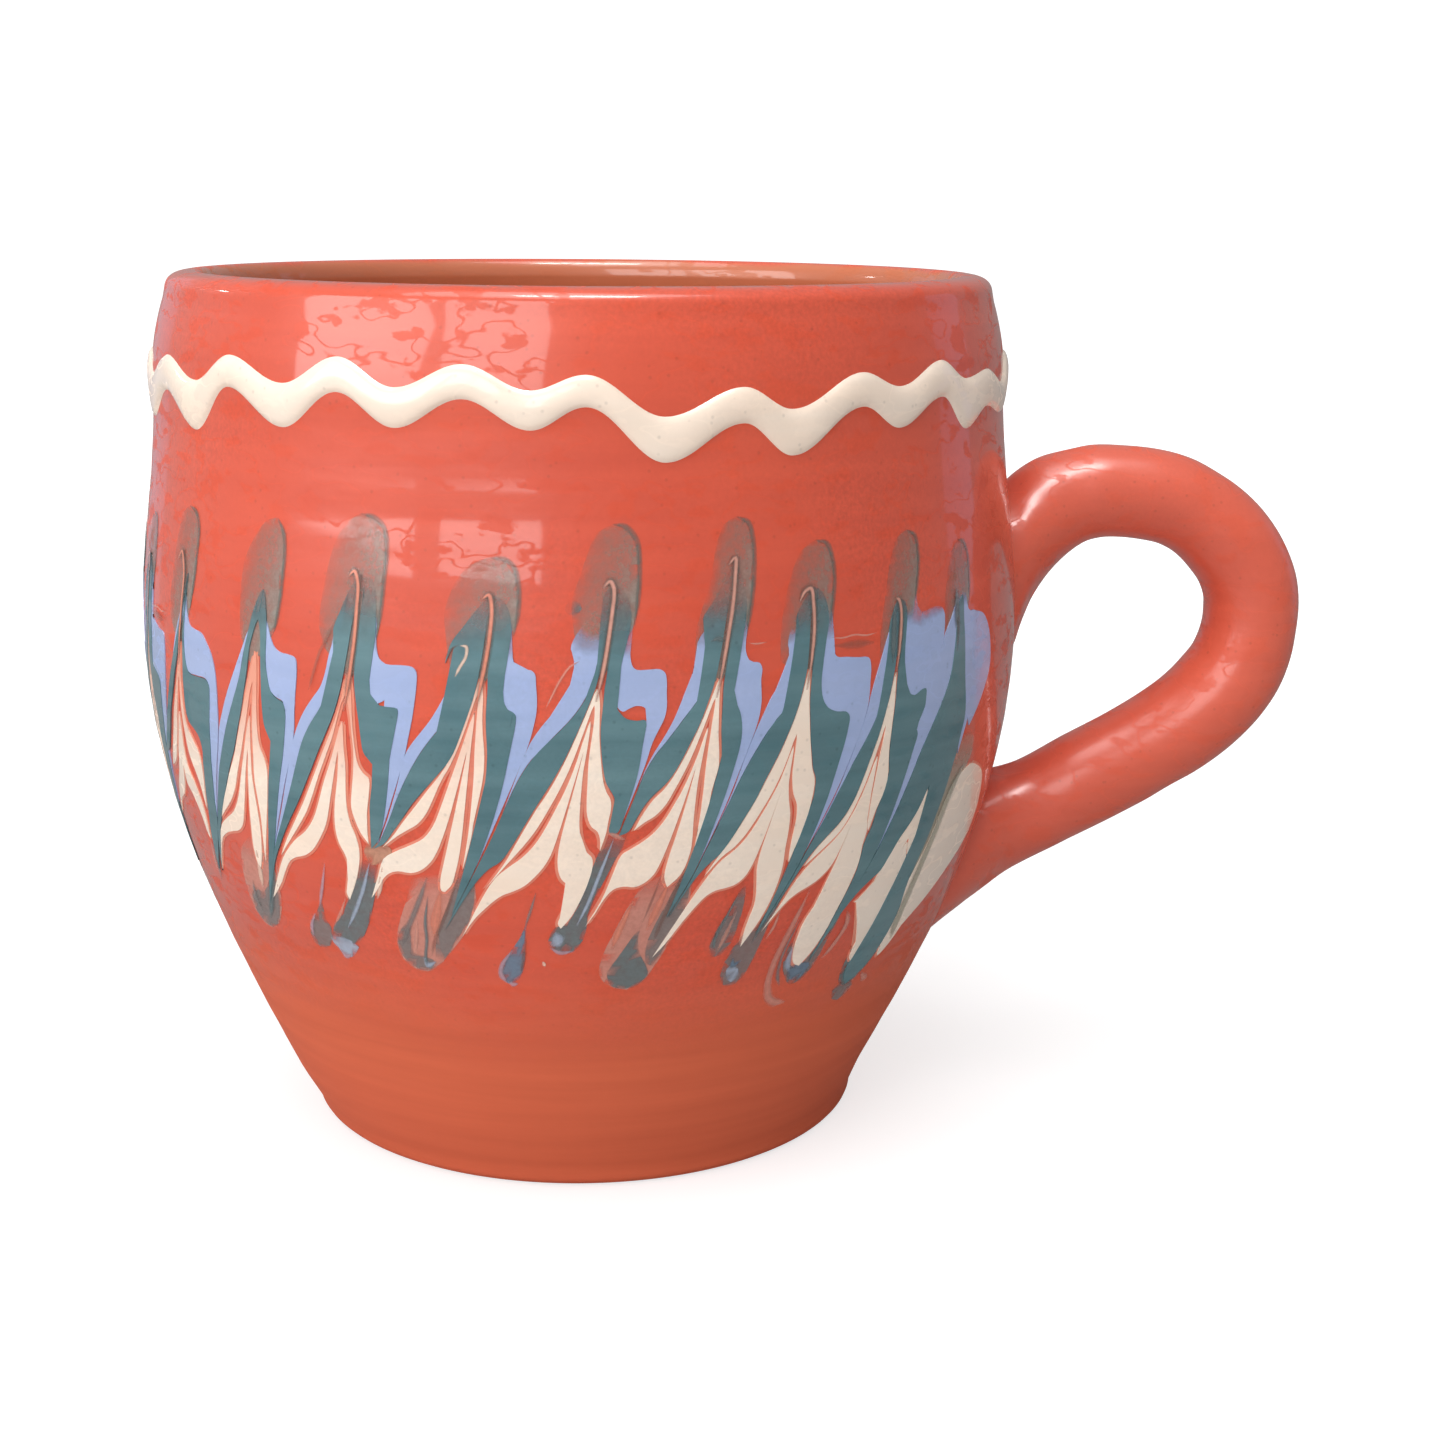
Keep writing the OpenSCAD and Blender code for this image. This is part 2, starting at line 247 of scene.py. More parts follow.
def glazed(name, colour, tint, rough=0.06, bump=0.0010, cloud=0.5, grain=0.3):
    """Slip under clear glaze: a cloudy colour, a gloss coat and the shared skin."""
    material, tree, shader = new_material(name)
    skin = use_skin(tree)
    soft = add(tree, "ShaderNodeMapRange", (-4, 1), Value=skin["Cloud"], From_Min=0.35, From_Max=0.7, To_Max=cloud)
    mixed = mix_colours(tree, (-3, 1), soft, colour, tint)
    fewer = add(tree, "ShaderNodeMath", (-3, 0), operation="MULTIPLY", i0=skin["Specks"], i1=0.35)
    specked = mix_colours(tree, (-2, 1), fewer, mixed, tuple(0.55 * c for c in colour))
    grainy = add(tree, "ShaderNodeMapRange", (-3, 3), Value=skin["Grain"], From_Min=0.3, From_Max=0.7,
                 To_Min=-0.12 * grain, To_Max=0.12 * grain)
    lit = add(tree, "ShaderNodeMath", (-2, 3), operation="ADD", i0=grainy, i1=1.0)
    toned = add(tree, "ShaderNodeHueSaturation", (-1, 3), Value=lit, Color=specked)
    dent = add(tree, "ShaderNodeBump", (-1, -1), Height=skin["Height"], Distance=bump * 0.1, Strength=0.6)
    coat = add(tree, "ShaderNodeMath", (-1, -3), operation="MULTIPLY", i0=skin["Gloss"], i1=full_coat)
    feed(tree, shader, Base_Color=toned, Normal=dent, Coat_Weight=coat, Roughness=0.42, Specular_IOR_Level=0.32,
         Coat_Roughness=rough)
    return material, tree, shader, toned


print("full gloss coat", full_coat)

# %% [markdown]
# The body carries three finishes that melt into each other: clear glaze over red clay on the outside,
# bare matt clay round the foot where the glaze was wiped off so that it wouldn't stick to the kiln
# shelf, and a paler, more orange glaze inside. The edge of the glaze is a height with a noisy wobble, and
# the inside is told by an attribute that the mesh will carry.

# %% Material: terracotta, glazed outside, bare at the foot, orange inside
clay, clay_tree, clay_shader, clay_colour = glazed(
    "terracotta_glaze", (0.755, 0.105, 0.052), (0.63, 0.079, 0.041), cloud=0.8, grain=0.8)
place = add(clay_tree, "ShaderNodeTexCoord", (-8, -3)).outputs["Object"]
split = add(clay_tree, "ShaderNodeSeparateXYZ", (-7, -3), Vector=place)
wobble = add(clay_tree, "ShaderNodeTexNoise", (-7, -4), Vector=place, Scale=45, Detail=4)
edge_height = add(clay_tree, "ShaderNodeMath", (-6, -4), operation="MULTIPLY_ADD", i0=wobble, i1=-0.012,
                  i2=split.outputs[2])
glaze_share = add(clay_tree, "ShaderNodeMapRange", (-5, -4), interpolation_type="SMOOTHSTEP", Value=edge_height,
                  From_Min=0.008, From_Max=0.026)
turned = add(clay_tree, "ShaderNodeMapping", (-7, -5), Vector=place, Scale=(22, 22, 430))
grain = add(clay_tree, "ShaderNodeTexNoise", (-6, -5), Vector=turned, Scale=1, Detail=6)
bare = mix_colours(clay_tree, (-5, -5), grain, (0.60, 0.108, 0.046), (0.82, 0.165, 0.074))
outside = mix_colours(clay_tree, (-3, -4), glaze_share, bare, clay_colour.outputs[0])
inside_mask = add(clay_tree, "ShaderNodeAttribute", (-3, -7), attribute_name="inside").outputs["Fac"]
print("clay material:", len(clay_tree.nodes), "nodes")

# %% [markdown]
# The three clay colours are joined in one chain of Mix nodes, outside first and inside last, and the
# roughness and the coat follow the same masks, so gloss stops exactly where the glaze does.

# %% Join the clay's colours and gloss
all_clay = mix_colours(clay_tree, (-1, 1), inside_mask, outside, (0.60, 0.18, 0.085))
gloss_share = add(clay_tree, "ShaderNodeMath", (-1, -3), operation="MAXIMUM", i0=glaze_share, i1=inside_mask)
rough_map = add(clay_tree, "ShaderNodeMapRange", (0, -3), Value=gloss_share, To_Min=0.82, To_Max=0.34)
coat_map = add(clay_tree, "ShaderNodeMapRange", (0, -4), Value=gloss_share, To_Max=full_coat)
skin_of_clay = next(node for node in clay_tree.nodes if node.type == "GROUP")
broken = add(clay_tree, "ShaderNodeMath", (1, -4), operation="MULTIPLY", i0=coat_map,
             i1=skin_of_clay.outputs["Gloss"])
feed(clay_tree, clay_shader, Base_Color=all_clay, Roughness=rough_map, Coat_Weight=broken)
print("clay joined")

# %% [markdown]
# The body is made as the potter makes it, by turning one outline round the axis. The spin operator does
# that with use_merge, which closes the seam. The outline goes up the outside, over the round rim, down
# the inside and across the floor, so the wall has its true thickness.

# %% Turn the body
outside_step, inside_step = 0.8, 1.6
outline = []
for step in range(7):
    a = math.pi / 2 * step / 6
    outline.append((foot_r - 1.9 * (1 - math.sin(a)), 1.5 * (1 - math.cos(a))))
rise = 1.5
while rise < rim_z - outside_step:
    rise += outside_step
    outline.append((outer_r(rise), rise))
bend = 0.72
for step in range(1, 13):
    a = math.pi / 2 * step / 12
    outline.append((crest_r + (lip_r - crest_r) * math.cos(a) ** bend, rim_z + rim_round * math.sin(a) ** bend))
inner_rim = wall_t - (lip_r - crest_r)
for step in range(1, 9):
    a = math.pi / 2 * step / 8
    outline.append((crest_r - inner_rim * math.sin(a), rim_z + rim_round * math.cos(a)))
floor_turn = math.radians(64)
turn_z = base_t + floor_round * (1 - math.cos(floor_turn))
fall = rim_z
while fall > turn_z + inside_step:
    fall -= inside_step
    outline.append((outer_r(fall) - wall_t, fall))
flat_r = outer_r(turn_z) - wall_t - floor_round * math.sin(floor_turn)
for step in range(10):
    a = floor_turn * (1 - step / 9)
    outline.append((flat_r + floor_round * math.sin(a), base_t + floor_round * (1 - math.cos(a))))
body = bmesh.new()
steps_round = 256
line = [body.verts.new((r * mm, 0, z * mm)) for r, z in outline]
for low, high in zip(line, line[1:]):
    body.edges.new((low, high))
bmesh.ops.spin(body, geom=body.verts[:] + body.edges[:], axis=(0, 0, 1), cent=(0, 0, 0),
               angle=2 * math.pi, steps=steps_round, use_merge=True)
bmesh.ops.remove_doubles(body, verts=body.verts, dist=1e-6)
holes = [edge for edge in body.edges if edge.is_boundary]
bmesh.ops.holes_fill(body, edges=holes, sides=0)
bmesh.ops.recalc_face_normals(body, faces=body.faces)
inside = body.verts.layers.float.new("inside")
for vert in body.verts:
    z = vert.co.z / mm
    r = vert.co.xy.length / mm
    edge_r = crest_r - 0.3 + noise.noise(vert.co * 160) * 0.35 if z > rim_z else outer_r(z) - 2.5
    vert[inside] = max(0, min(1, (edge_r - r) / 0.5)) if z > base_t - 1 else 0
    if r > 1 and z > 0.01:
        angle = math.atan2(vert.co.y, vert.co.x)
        side = 1 if r > outer_r(max(z, 2)) - 2.5 else 0.8
        vert.co.xy *= (r + side * throwing_marks(z, angle)) / r
    vert.co.x += sideways(z) * mm
body_piece = finish_piece("mug_body", body, [clay])
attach(body_piece, "root")
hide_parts("body")

# %% [markdown]
# A spline through a few given knots gives every curved line on this mug. Knots that are unevenly
# spaced need the centripetal kind, which never loops back on itself between two close knots.

# %% A smooth curve through knots


def curve_through(knots, steps):
    """Points of a smooth curve through given knots, as a spline pulls a bent strip of wood."""
    spots = [Vector(k) for k in knots]
    spots = [2 * spots[0] - spots[1]] + spots + [2 * spots[-1] - spots[-2]]
    points = []
    for before, here, there, after in zip(spots, spots[1:], spots[2:], spots[3:]):
        t1 = (here - before).length ** 0.5 + 1e-6
        t2 = t1 + (there - here).length ** 0.5 + 1e-6
        t3 = t2 + (after - there).length ** 0.5 + 1e-6
        for step in range(steps):
            t = t1 + (t2 - t1) * step / steps
            a1 = before.lerp(here, t / t1)
            a2 = here.lerp(there, (t - t1) / (t2 - t1))
            a3 = there.lerp(after, (t - t2) / (t3 - t2))
            b1 = a1.lerp(a2, t / t2)
            b2 = a2.lerp(a3, (t - t1) / (t3 - t1))
            points.append(b1.lerp(b2, (t - t1) / (t2 - t1)))
    return points + [spots[-2]]


# %% [markdown]
# The handle is one round coil, pulled and bent into a loop, then pressed on at both ends. The presses
# leave smears: the coil spreads sideways and its underside is wiped down the wall. Along the loop the
# coil is told by its centre and radius; at the roots by its upper and lower outline and its half width.

# %% Stations of the handle, in millimetres
loop = [(54.4, 68.3, 5.2), (57.2, 69.1, 5.2), (60.5, 69.1, 5.1), (63.7, 68.7, 5.1), (66.3, 68.0, 5.05),
        (68.7, 66.8, 5.0), (70.6, 65.5, 5.1), (72.5, 63.7, 5.2), (74.3, 61.3, 5.2), (75.5, 58.5, 5.25),
        (75.85, 56.2, 5.3), (75.8, 53.8, 5.3), (75.4, 51.4, 5.4), (74.5, 48.9, 5.5), (73.1, 46.7, 5.6),
        (71.35, 44.65, 5.6), (69.35, 42.8, 5.6), (67.1, 41.15, 5.6), (64.5, 39.6, 5.5), (61.9, 38.05, 5.5),
        (59.05, 36.55, 5.5), (56.1, 35.05, 5.5), (53.1, 33.55, 5.5)]
high_root = [(43.8, 68.2, 44.6, 48.0, 9.6), (45.6, 69.3, 46.6, 49.4, 8.9), (47.0, 70.1, 48.2, 51.4, 8.0),
             (48.3, 71.0, 49.1, 54.2, 7.2), (49.6, 71.8, 50.3, 57.3, 6.4), (51.1, 72.6, 52.6, 60.7, 5.7)]
low_root = [(49.3, 37.8, 52.9, 27.3, 5.8), (47.7, 37.1, 49.9, 25.7, 6.5), (46.4, 36.6, 47.0, 24.1, 7.3),
            (45.2, 36.2, 44.0, 22.1, 8.2), (43.6, 35.8, 41.2, 19.8, 9.0), (41.6, 35.2, 38.4, 17.4, 9.6)]
stations = [list(knot) for knot in high_root]
for here, knot in enumerate(loop):
    ahead, behind = loop[min(here + 1, len(loop) - 1)], loop[max(here - 1, 0)]
    along = Vector((ahead[0] - behind[0], ahead[1] - behind[1])).normalized()
    square = Vector((-along.y, along.x)) * knot[2]
    stations.append([knot[0] + square.x, knot[1] + square.y, knot[0] - square.x, knot[1] - square.y, knot[2]])
stations += [[bx, bz, tx, tz, half] for tx, tz, bx, bz, half in low_root]
print(len(stations), "stations from root to root")

# %% [markdown]
# Circles are placed at the stations, sized and turned so that each spans its two outline points, and
# bridged one after the other into a closed skin. The hand's unevenness is a slow noise along the
# normals. Near the roots, where fingers and a wet tool have worked the clay, it is stronger, and part of
# it is drawn out along the wipe, which leaves smears and lumps.

# %% Bridge the coil's circles
handle = bmesh.new()
coil_sides, curve_steps = 44, 4
tops = curve_through([(s[0], s[1], s[4]) for s in stations], curve_steps)
bottoms = curve_through([(s[2], s[3], s[4]) for s in stations], curve_steps)
loops = []
for top, bottom in zip(tops, bottoms):
    middle = Vector((top.x + bottom.x, 0, top.y + bottom.y)) / 2
    half_tall = Vector((top.x - bottom.x, 0, top.y - bottom.y)) / 2
    ring = bmesh.ops.create_circle(handle, segments=coil_sides, radius=1)["verts"]
    for vert in ring:
        vert.co = (middle + half_tall * vert.co.y + Vector((0, top.z * vert.co.x, 0))) * mm
    loops.append(ring)
for ring, following in zip(loops, loops[1:]):
    kept = set(ring)
    nexts = set(following)
    edges = {e for v in ring for e in v.link_edges if e.other_vert(v) in kept}
    edges |= {e for v in following for e in v.link_edges if e.other_vert(v) in nexts}
    bmesh.ops.bridge_loops(handle, edges=list(edges))
bmesh.ops.holes_fill(handle, edges=[edge for edge in handle.edges if edge.is_boundary], sides=0)
bmesh.ops.recalc_face_normals(handle, faces=handle.faces)
for vert in handle.verts:
    worked = max(0, 1 - abs(vert.co.x / mm - 48) / 7)
    bumpy = noise.noise(vert.co * 42 + Vector((3, 1, 7))) * 0.2 + noise.noise(vert.co * 110) * (0.1 + 0.2 * worked)
    smear = Vector((vert.co.x * 70, vert.co.y * 420, vert.co.z * 110))
    bumpy += (noise.noise(smear) * 0.5 + noise.noise(vert.co * 85) * 0.9) * worked
    vert.co += vert.normal * bumpy * mm
handle_clay = glazed("handle_glaze", (0.79, 0.134, 0.074), (0.70, 0.106, 0.058), rough=0.24, bump=0.002, cloud=0.6,
                     grain=0.2)[0]
handle_piece = finish_piece("handle_coil", handle, [handle_clay])
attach(handle_piece, "root")
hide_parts("handle")

# %% [markdown]
# The wave under the rim is trailed: a thread of runny cream slip is laid from a bulb in one go. It is
# thin at the crests, where the hand moves fast, and broad in the troughs. Only the turning points were
# read from the photograph; between them the two edges swing as a cosine. A flat grid is wrapped round
# the wall, and its rows are raised in a low arch.

# %% Turning points of the wave: (angle, top edge, bottom edge)
crests = [(-154.9, 85.3, 81.6), (-137.5, 86.1, 82.9), (-119.7, 86.6, 83.2), (-103.9, 86.3, 83.0),
          (-89.75, 85.5, 82.45), (-71.3, 84.3, 80.8), (-54.9, 85.2, 81.8), (-40.1, 85.8, 82.05),
          (-26.2, 84.3, 80.3)]
troughs = [(-145.3, 83.4, 78.3), (-127.9, 83.95, 79.6), (-112.2, 84.1, 80.2), (-96.1, 84.1, 80.3),
           (-80.7, 81.8, 77.4), (-65.1, 82.2, 77.65), (-48.65, 83.7, 79.5), (-33.6, 83.8, 78.5)]
chance = random.Random(7)
turning = sorted(crests + troughs)
hidden = 14
gap = (360 + crests[0][0] - crests[-1][0]) / hidden
for wave_no in range(hidden):
    start = crests[-1][0] + gap * wave_no
    turning.append((start + gap * (0.5 + chance.uniform(-0.05, 0.05)), 83.1 + chance.uniform(-0.8, 0.8),
                    78.9 + chance.uniform(-0.8, 0.8)))
    if wave_no < hidden - 1:
        turning.append((start + gap * (1 + chance.uniform(-0.04, 0.04)), 85.4 + chance.uniform(-0.6, 0.6),
                        82.0 + chance.uniform(-0.5, 0.5)))
turning.append((turning[0][0] + 360, turning[0][1], turning[0][2]))


def wave_edges(angle):
    """Heights of the trail's top and bottom edges at an angle in degrees."""
    for here, there in zip(turning, turning[1:]):
        if here[0] <= angle <= there[0]:
            share = (1 - math.cos(math.pi * (angle - here[0]) / (there[0] - here[0]))) / 2
            return here[1] + share * (there[1] - here[1]), here[2] + share * (there[2] - here[2])
    return turning[0][1:]


wave = bmesh.new()
rows, columns = 10, 1200
sunk, arch_height = -0.12, 0.62
bmesh.ops.create_grid(wave, x_segments=columns, y_segments=rows, size=1)
for vert in wave.verts:
    angle = turning[0][0] + 180 * (vert.co.x + 1)
    top, bottom = wave_edges(angle)
    share = (vert.co.y + 1) / 2
    z = bottom + share * (top - bottom)
    arch = max(0, 1 - (2 * share - 1) ** 2) ** 0.5
    vert.co = on_wall(math.radians(angle), z, sunk + arch_height * arch)
bmesh.ops.remove_doubles(wave, verts=wave.verts, dist=1e-6)
bmesh.ops.recalc_face_normals(wave, faces=wave.faces)
cream, cream_tree, cream_shader, cream_colour = glazed(
    "cream_slip", (0.98, 0.79, 0.64), (0.98, 0.86, 0.74), cloud=0.8)
blush_mask = add(cream_tree, "ShaderNodeAttribute", (-1, 5), attribute_name="blush").outputs["Fac"]
blushed = mix_colours(cream_tree, (0, 3), blush_mask, cream_colour.outputs[0], (0.84, 0.32, 0.21))
feed(cream_tree, cream_shader, Base_Color=blushed)
wave_piece = finish_piece("wave_trail_slip", wave, [cream])
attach(wave_piece, "root")
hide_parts("wave_trail")
print(len(turning), "turning points")

# %% [markdown]
# The band is four level stripes, light blue, teal and two of cream, dragged by a comb: strokes up make
# the sharp spires and strokes down between them pull the stripes into drops. Every stripe has an upper
# and a lower edge for each spire, given here by a few knots in millimetres along the wall and up it,
# from the tip at its left to the tip at its right. The spires lean a little, so the knots are kept
# upright and leaned later.

# %% Edges of the combed stripes, spire by spire
spires = {}
spires["A"] = {
    "blue": ([
        (-48.6, 56), (-48, 58.5), (-47.2, 61), (-46.4, 62.5), (-45.8, 60.6), (-45.1, 59.5), (-44, 59.2), (-42.6, 59),
        (-41.5, 58.2), (-40.5, 57.2), (-39.8, 56), (-39.2, 54.4), (-38.8, 52.3), (-38.5, 49.5), (-39.1, 43),
        (-39.6, 38.5)],
       [
        (-48.6, 56), (-47.6, 57.5), (-46.9, 59.5), (-46.4, 61.5), (-46.2, 58.8), (-45.9, 57), (-45.3, 55.5),
        (-44.6, 54.7), (-43, 54.6), (-41.2, 54.6), (-40.5, 54.1), (-40.3, 52.8), (-40.2, 50), (-40, 47.3),
        (-39.8, 44.5), (-39.7, 41.5), (-39.6, 38.5)]),
    "teal": ([
        (-53, 44), (-51.5, 47), (-49.8, 51.5), (-48.4, 56), (-47.6, 58.5), (-46.9, 61.5), (-46.6, 64.5),
        (-46.3, 61.5), (-46.1, 58.5), (-45.8, 56.8), (-45.2, 55.3), (-44.5, 54.6), (-43, 54.5), (-41.2, 54.5),
        (-40.4, 54), (-40.2, 52.8), (-40.1, 50), (-39.9, 47.3), (-39.7, 44.5), (-39.6, 41.5), (-39.5, 38.5),
        (-41.2, 33)],
       [
        (-53, 44), (-51.2, 45), (-49.6, 49), (-48.2, 53), (-47.4, 56.5), (-46.8, 60.5), (-46.6, 64.5), (-46.5, 60.5),
        (-46.2, 56.5), (-45.6, 53), (-45.1, 50.6), (-44.4, 49.4), (-43.2, 48.8), (-42.2, 48.1), (-41.5, 46.7),
        (-41.3, 44), (-41.3, 40.5), (-41.4, 37), (-41.2, 33)]),
    "high": ([
        (-51, 43), (-49.5, 46), (-48.3, 50), (-47.3, 54), (-46.8, 57.5), (-46.4, 54.5), (-45.9, 51.5), (-45.2, 49),
        (-44.3, 48), (-43.4, 47.2), (-42.5, 46.4), (-41.9, 45), (-41.7, 42.6), (-41.7, 40)],
       [
        (-51, 43), (-49.3, 44), (-48.1, 46.5), (-47.4, 50), (-46.8, 54), (-46.3, 50.5), (-45.5, 47.5), (-44.6, 45.5),
        (-43.5, 44), (-42.6, 42.6), (-42, 41), (-41.7, 40)]),
    "low": ([
        (-52, 37), (-50, 40.8), (-48.6, 43), (-47.6, 46.5), (-46.9, 50), (-46.3, 46.5), (-45.5, 44), (-44.2, 42.6),
        (-43.1, 41), (-42.3, 39), (-41.9, 36.5)],
       [
        (-52, 37), (-50, 39.3), (-48.4, 40.2), (-47.4, 41.6), (-46.9, 44), (-46.4, 42), (-45.6, 41.4), (-44.4, 40.2),
        (-43.2, 38.6), (-42.4, 37), (-41.9, 36.5)]),
}
spires["B"] = {
    "blue": ([
        (-39.5, 38.5), (-38.9, 43), (-38.5, 47), (-38.3, 50), (-37.8, 52), (-37.2, 54), (-36.6, 55.8), (-36.1, 57.2),
        (-35.6, 58.6), (-35, 60.4), (-33.6, 62.5), (-32.5, 61.3), (-31.9, 60.1), (-31.2, 59.2), (-30.4, 58.8),
        (-29.2, 58.7), (-28.4, 58.4), (-28.1, 57.4), (-27.9, 55), (-27.7, 53), (-27.5, 50.6), (-28.2, 45),
        (-29.3, 38.3)],
       [
        (-39.5, 38.5), (-38.8, 42.8), (-38.2, 46), (-37.5, 49), (-36.7, 51.8), (-36, 54), (-35.6, 55.8),
        (-35.4, 57.6), (-35, 59.8), (-33.6, 62.3), (-32.5, 60.2), (-32.1, 57.8), (-31.7, 56.2), (-31.1, 55),
        (-30.2, 54.4), (-29.3, 54.1), (-28.9, 53.3), (-28.7, 51.5), (-28.65, 49), (-28.8, 46.3), (-28.95, 43.5),
        (-29.1, 41), (-29.3, 38.3)]),
    "teal": ([
        (-40.4, 33), (-39.5, 38.5), (-38.7, 42.8), (-38.1, 46), (-37.4, 49), (-36.6, 51.8), (-35.9, 54),
        (-35.5, 55.8), (-35.3, 57.6), (-35, 60), (-34.6, 62.5), (-33.8, 64.5), (-32.9, 62.5), (-32.4, 60),
        (-32.1, 57.7), (-31.6, 56.1), (-31, 54.9), (-30.2, 54.3), (-29.3, 54), (-28.85, 53.2), (-28.65, 51.5),
        (-28.6, 49), (-28.75, 46.3), (-28.9, 43.5), (-29.05, 41), (-29.25, 38.3), (-30.4, 31.5)],
       [
        (-40.4, 33), (-39.3, 37), (-38.7, 39.2), (-37.9, 41.5), (-37.1, 43.7), (-36.4, 46), (-35.7, 48),
        (-35.2, 50.5), (-34.8, 53), (-34.6, 56), (-34.5, 59), (-33.8, 61.6), (-33.2, 60), (-32.9, 58.3), (-32.5, 56),
        (-32, 53.6), (-31.4, 51.4), (-30.6, 50.2), (-29.9, 49.2), (-29.65, 47.4), (-29.8, 45), (-30, 42), (-30.1, 38),
        (-30.3, 34.5), (-30.4, 31.5)]),
    "high": ([
        (-38.8, 39.6), (-38.1, 41.2), (-37.2, 43.3), (-36.5, 45.2), (-35.8, 47), (-35.2, 49.6), (-34.7, 52.2),
        (-34.3, 55), (-33.6, 58.5), (-33, 55.5), (-32.7, 53), (-32.3, 50.6), (-31.8, 49), (-31.2, 48.1),
        (-30.6, 46.8), (-30.4, 45), (-30.4, 42), (-30.6, 39), (-30.7, 36.5)],
       [
        (-38.8, 39.6), (-37.6, 40.9), (-36.4, 42.2), (-35.5, 43.9), (-35, 46), (-34.5, 48.5), (-34.1, 51),
        (-33.6, 55.5), (-33.1, 51), (-32.7, 48), (-32.3, 45.3), (-31.7, 43), (-31.2, 41), (-30.95, 38.6),
        (-30.7, 36.5)]),
    "low": ([
        (-40.3, 33.2), (-39.4, 36.8), (-38.6, 39), (-37.2, 40.2), (-35.9, 41.2), (-35.1, 42.6), (-34.6, 44.6),
        (-34.2, 47.5), (-33.6, 52), (-33.2, 49), (-32.8, 46), (-32.3, 43.9), (-31.8, 42), (-31.4, 39.8),
        (-31.3, 37.2), (-31.6, 35.6)],
       [
        (-40.3, 33.2), (-39.7, 35.2), (-38.8, 37.3), (-37.6, 38.3), (-36.3, 38.8), (-35.1, 39.2), (-34.4, 40),
        (-34, 42), (-33.8, 45), (-33.6, 48.5), (-33.3, 45), (-33.1, 42), (-32.9, 39.6), (-32.6, 37.6), (-32.1, 36),
        (-31.6, 35.6)]),
}
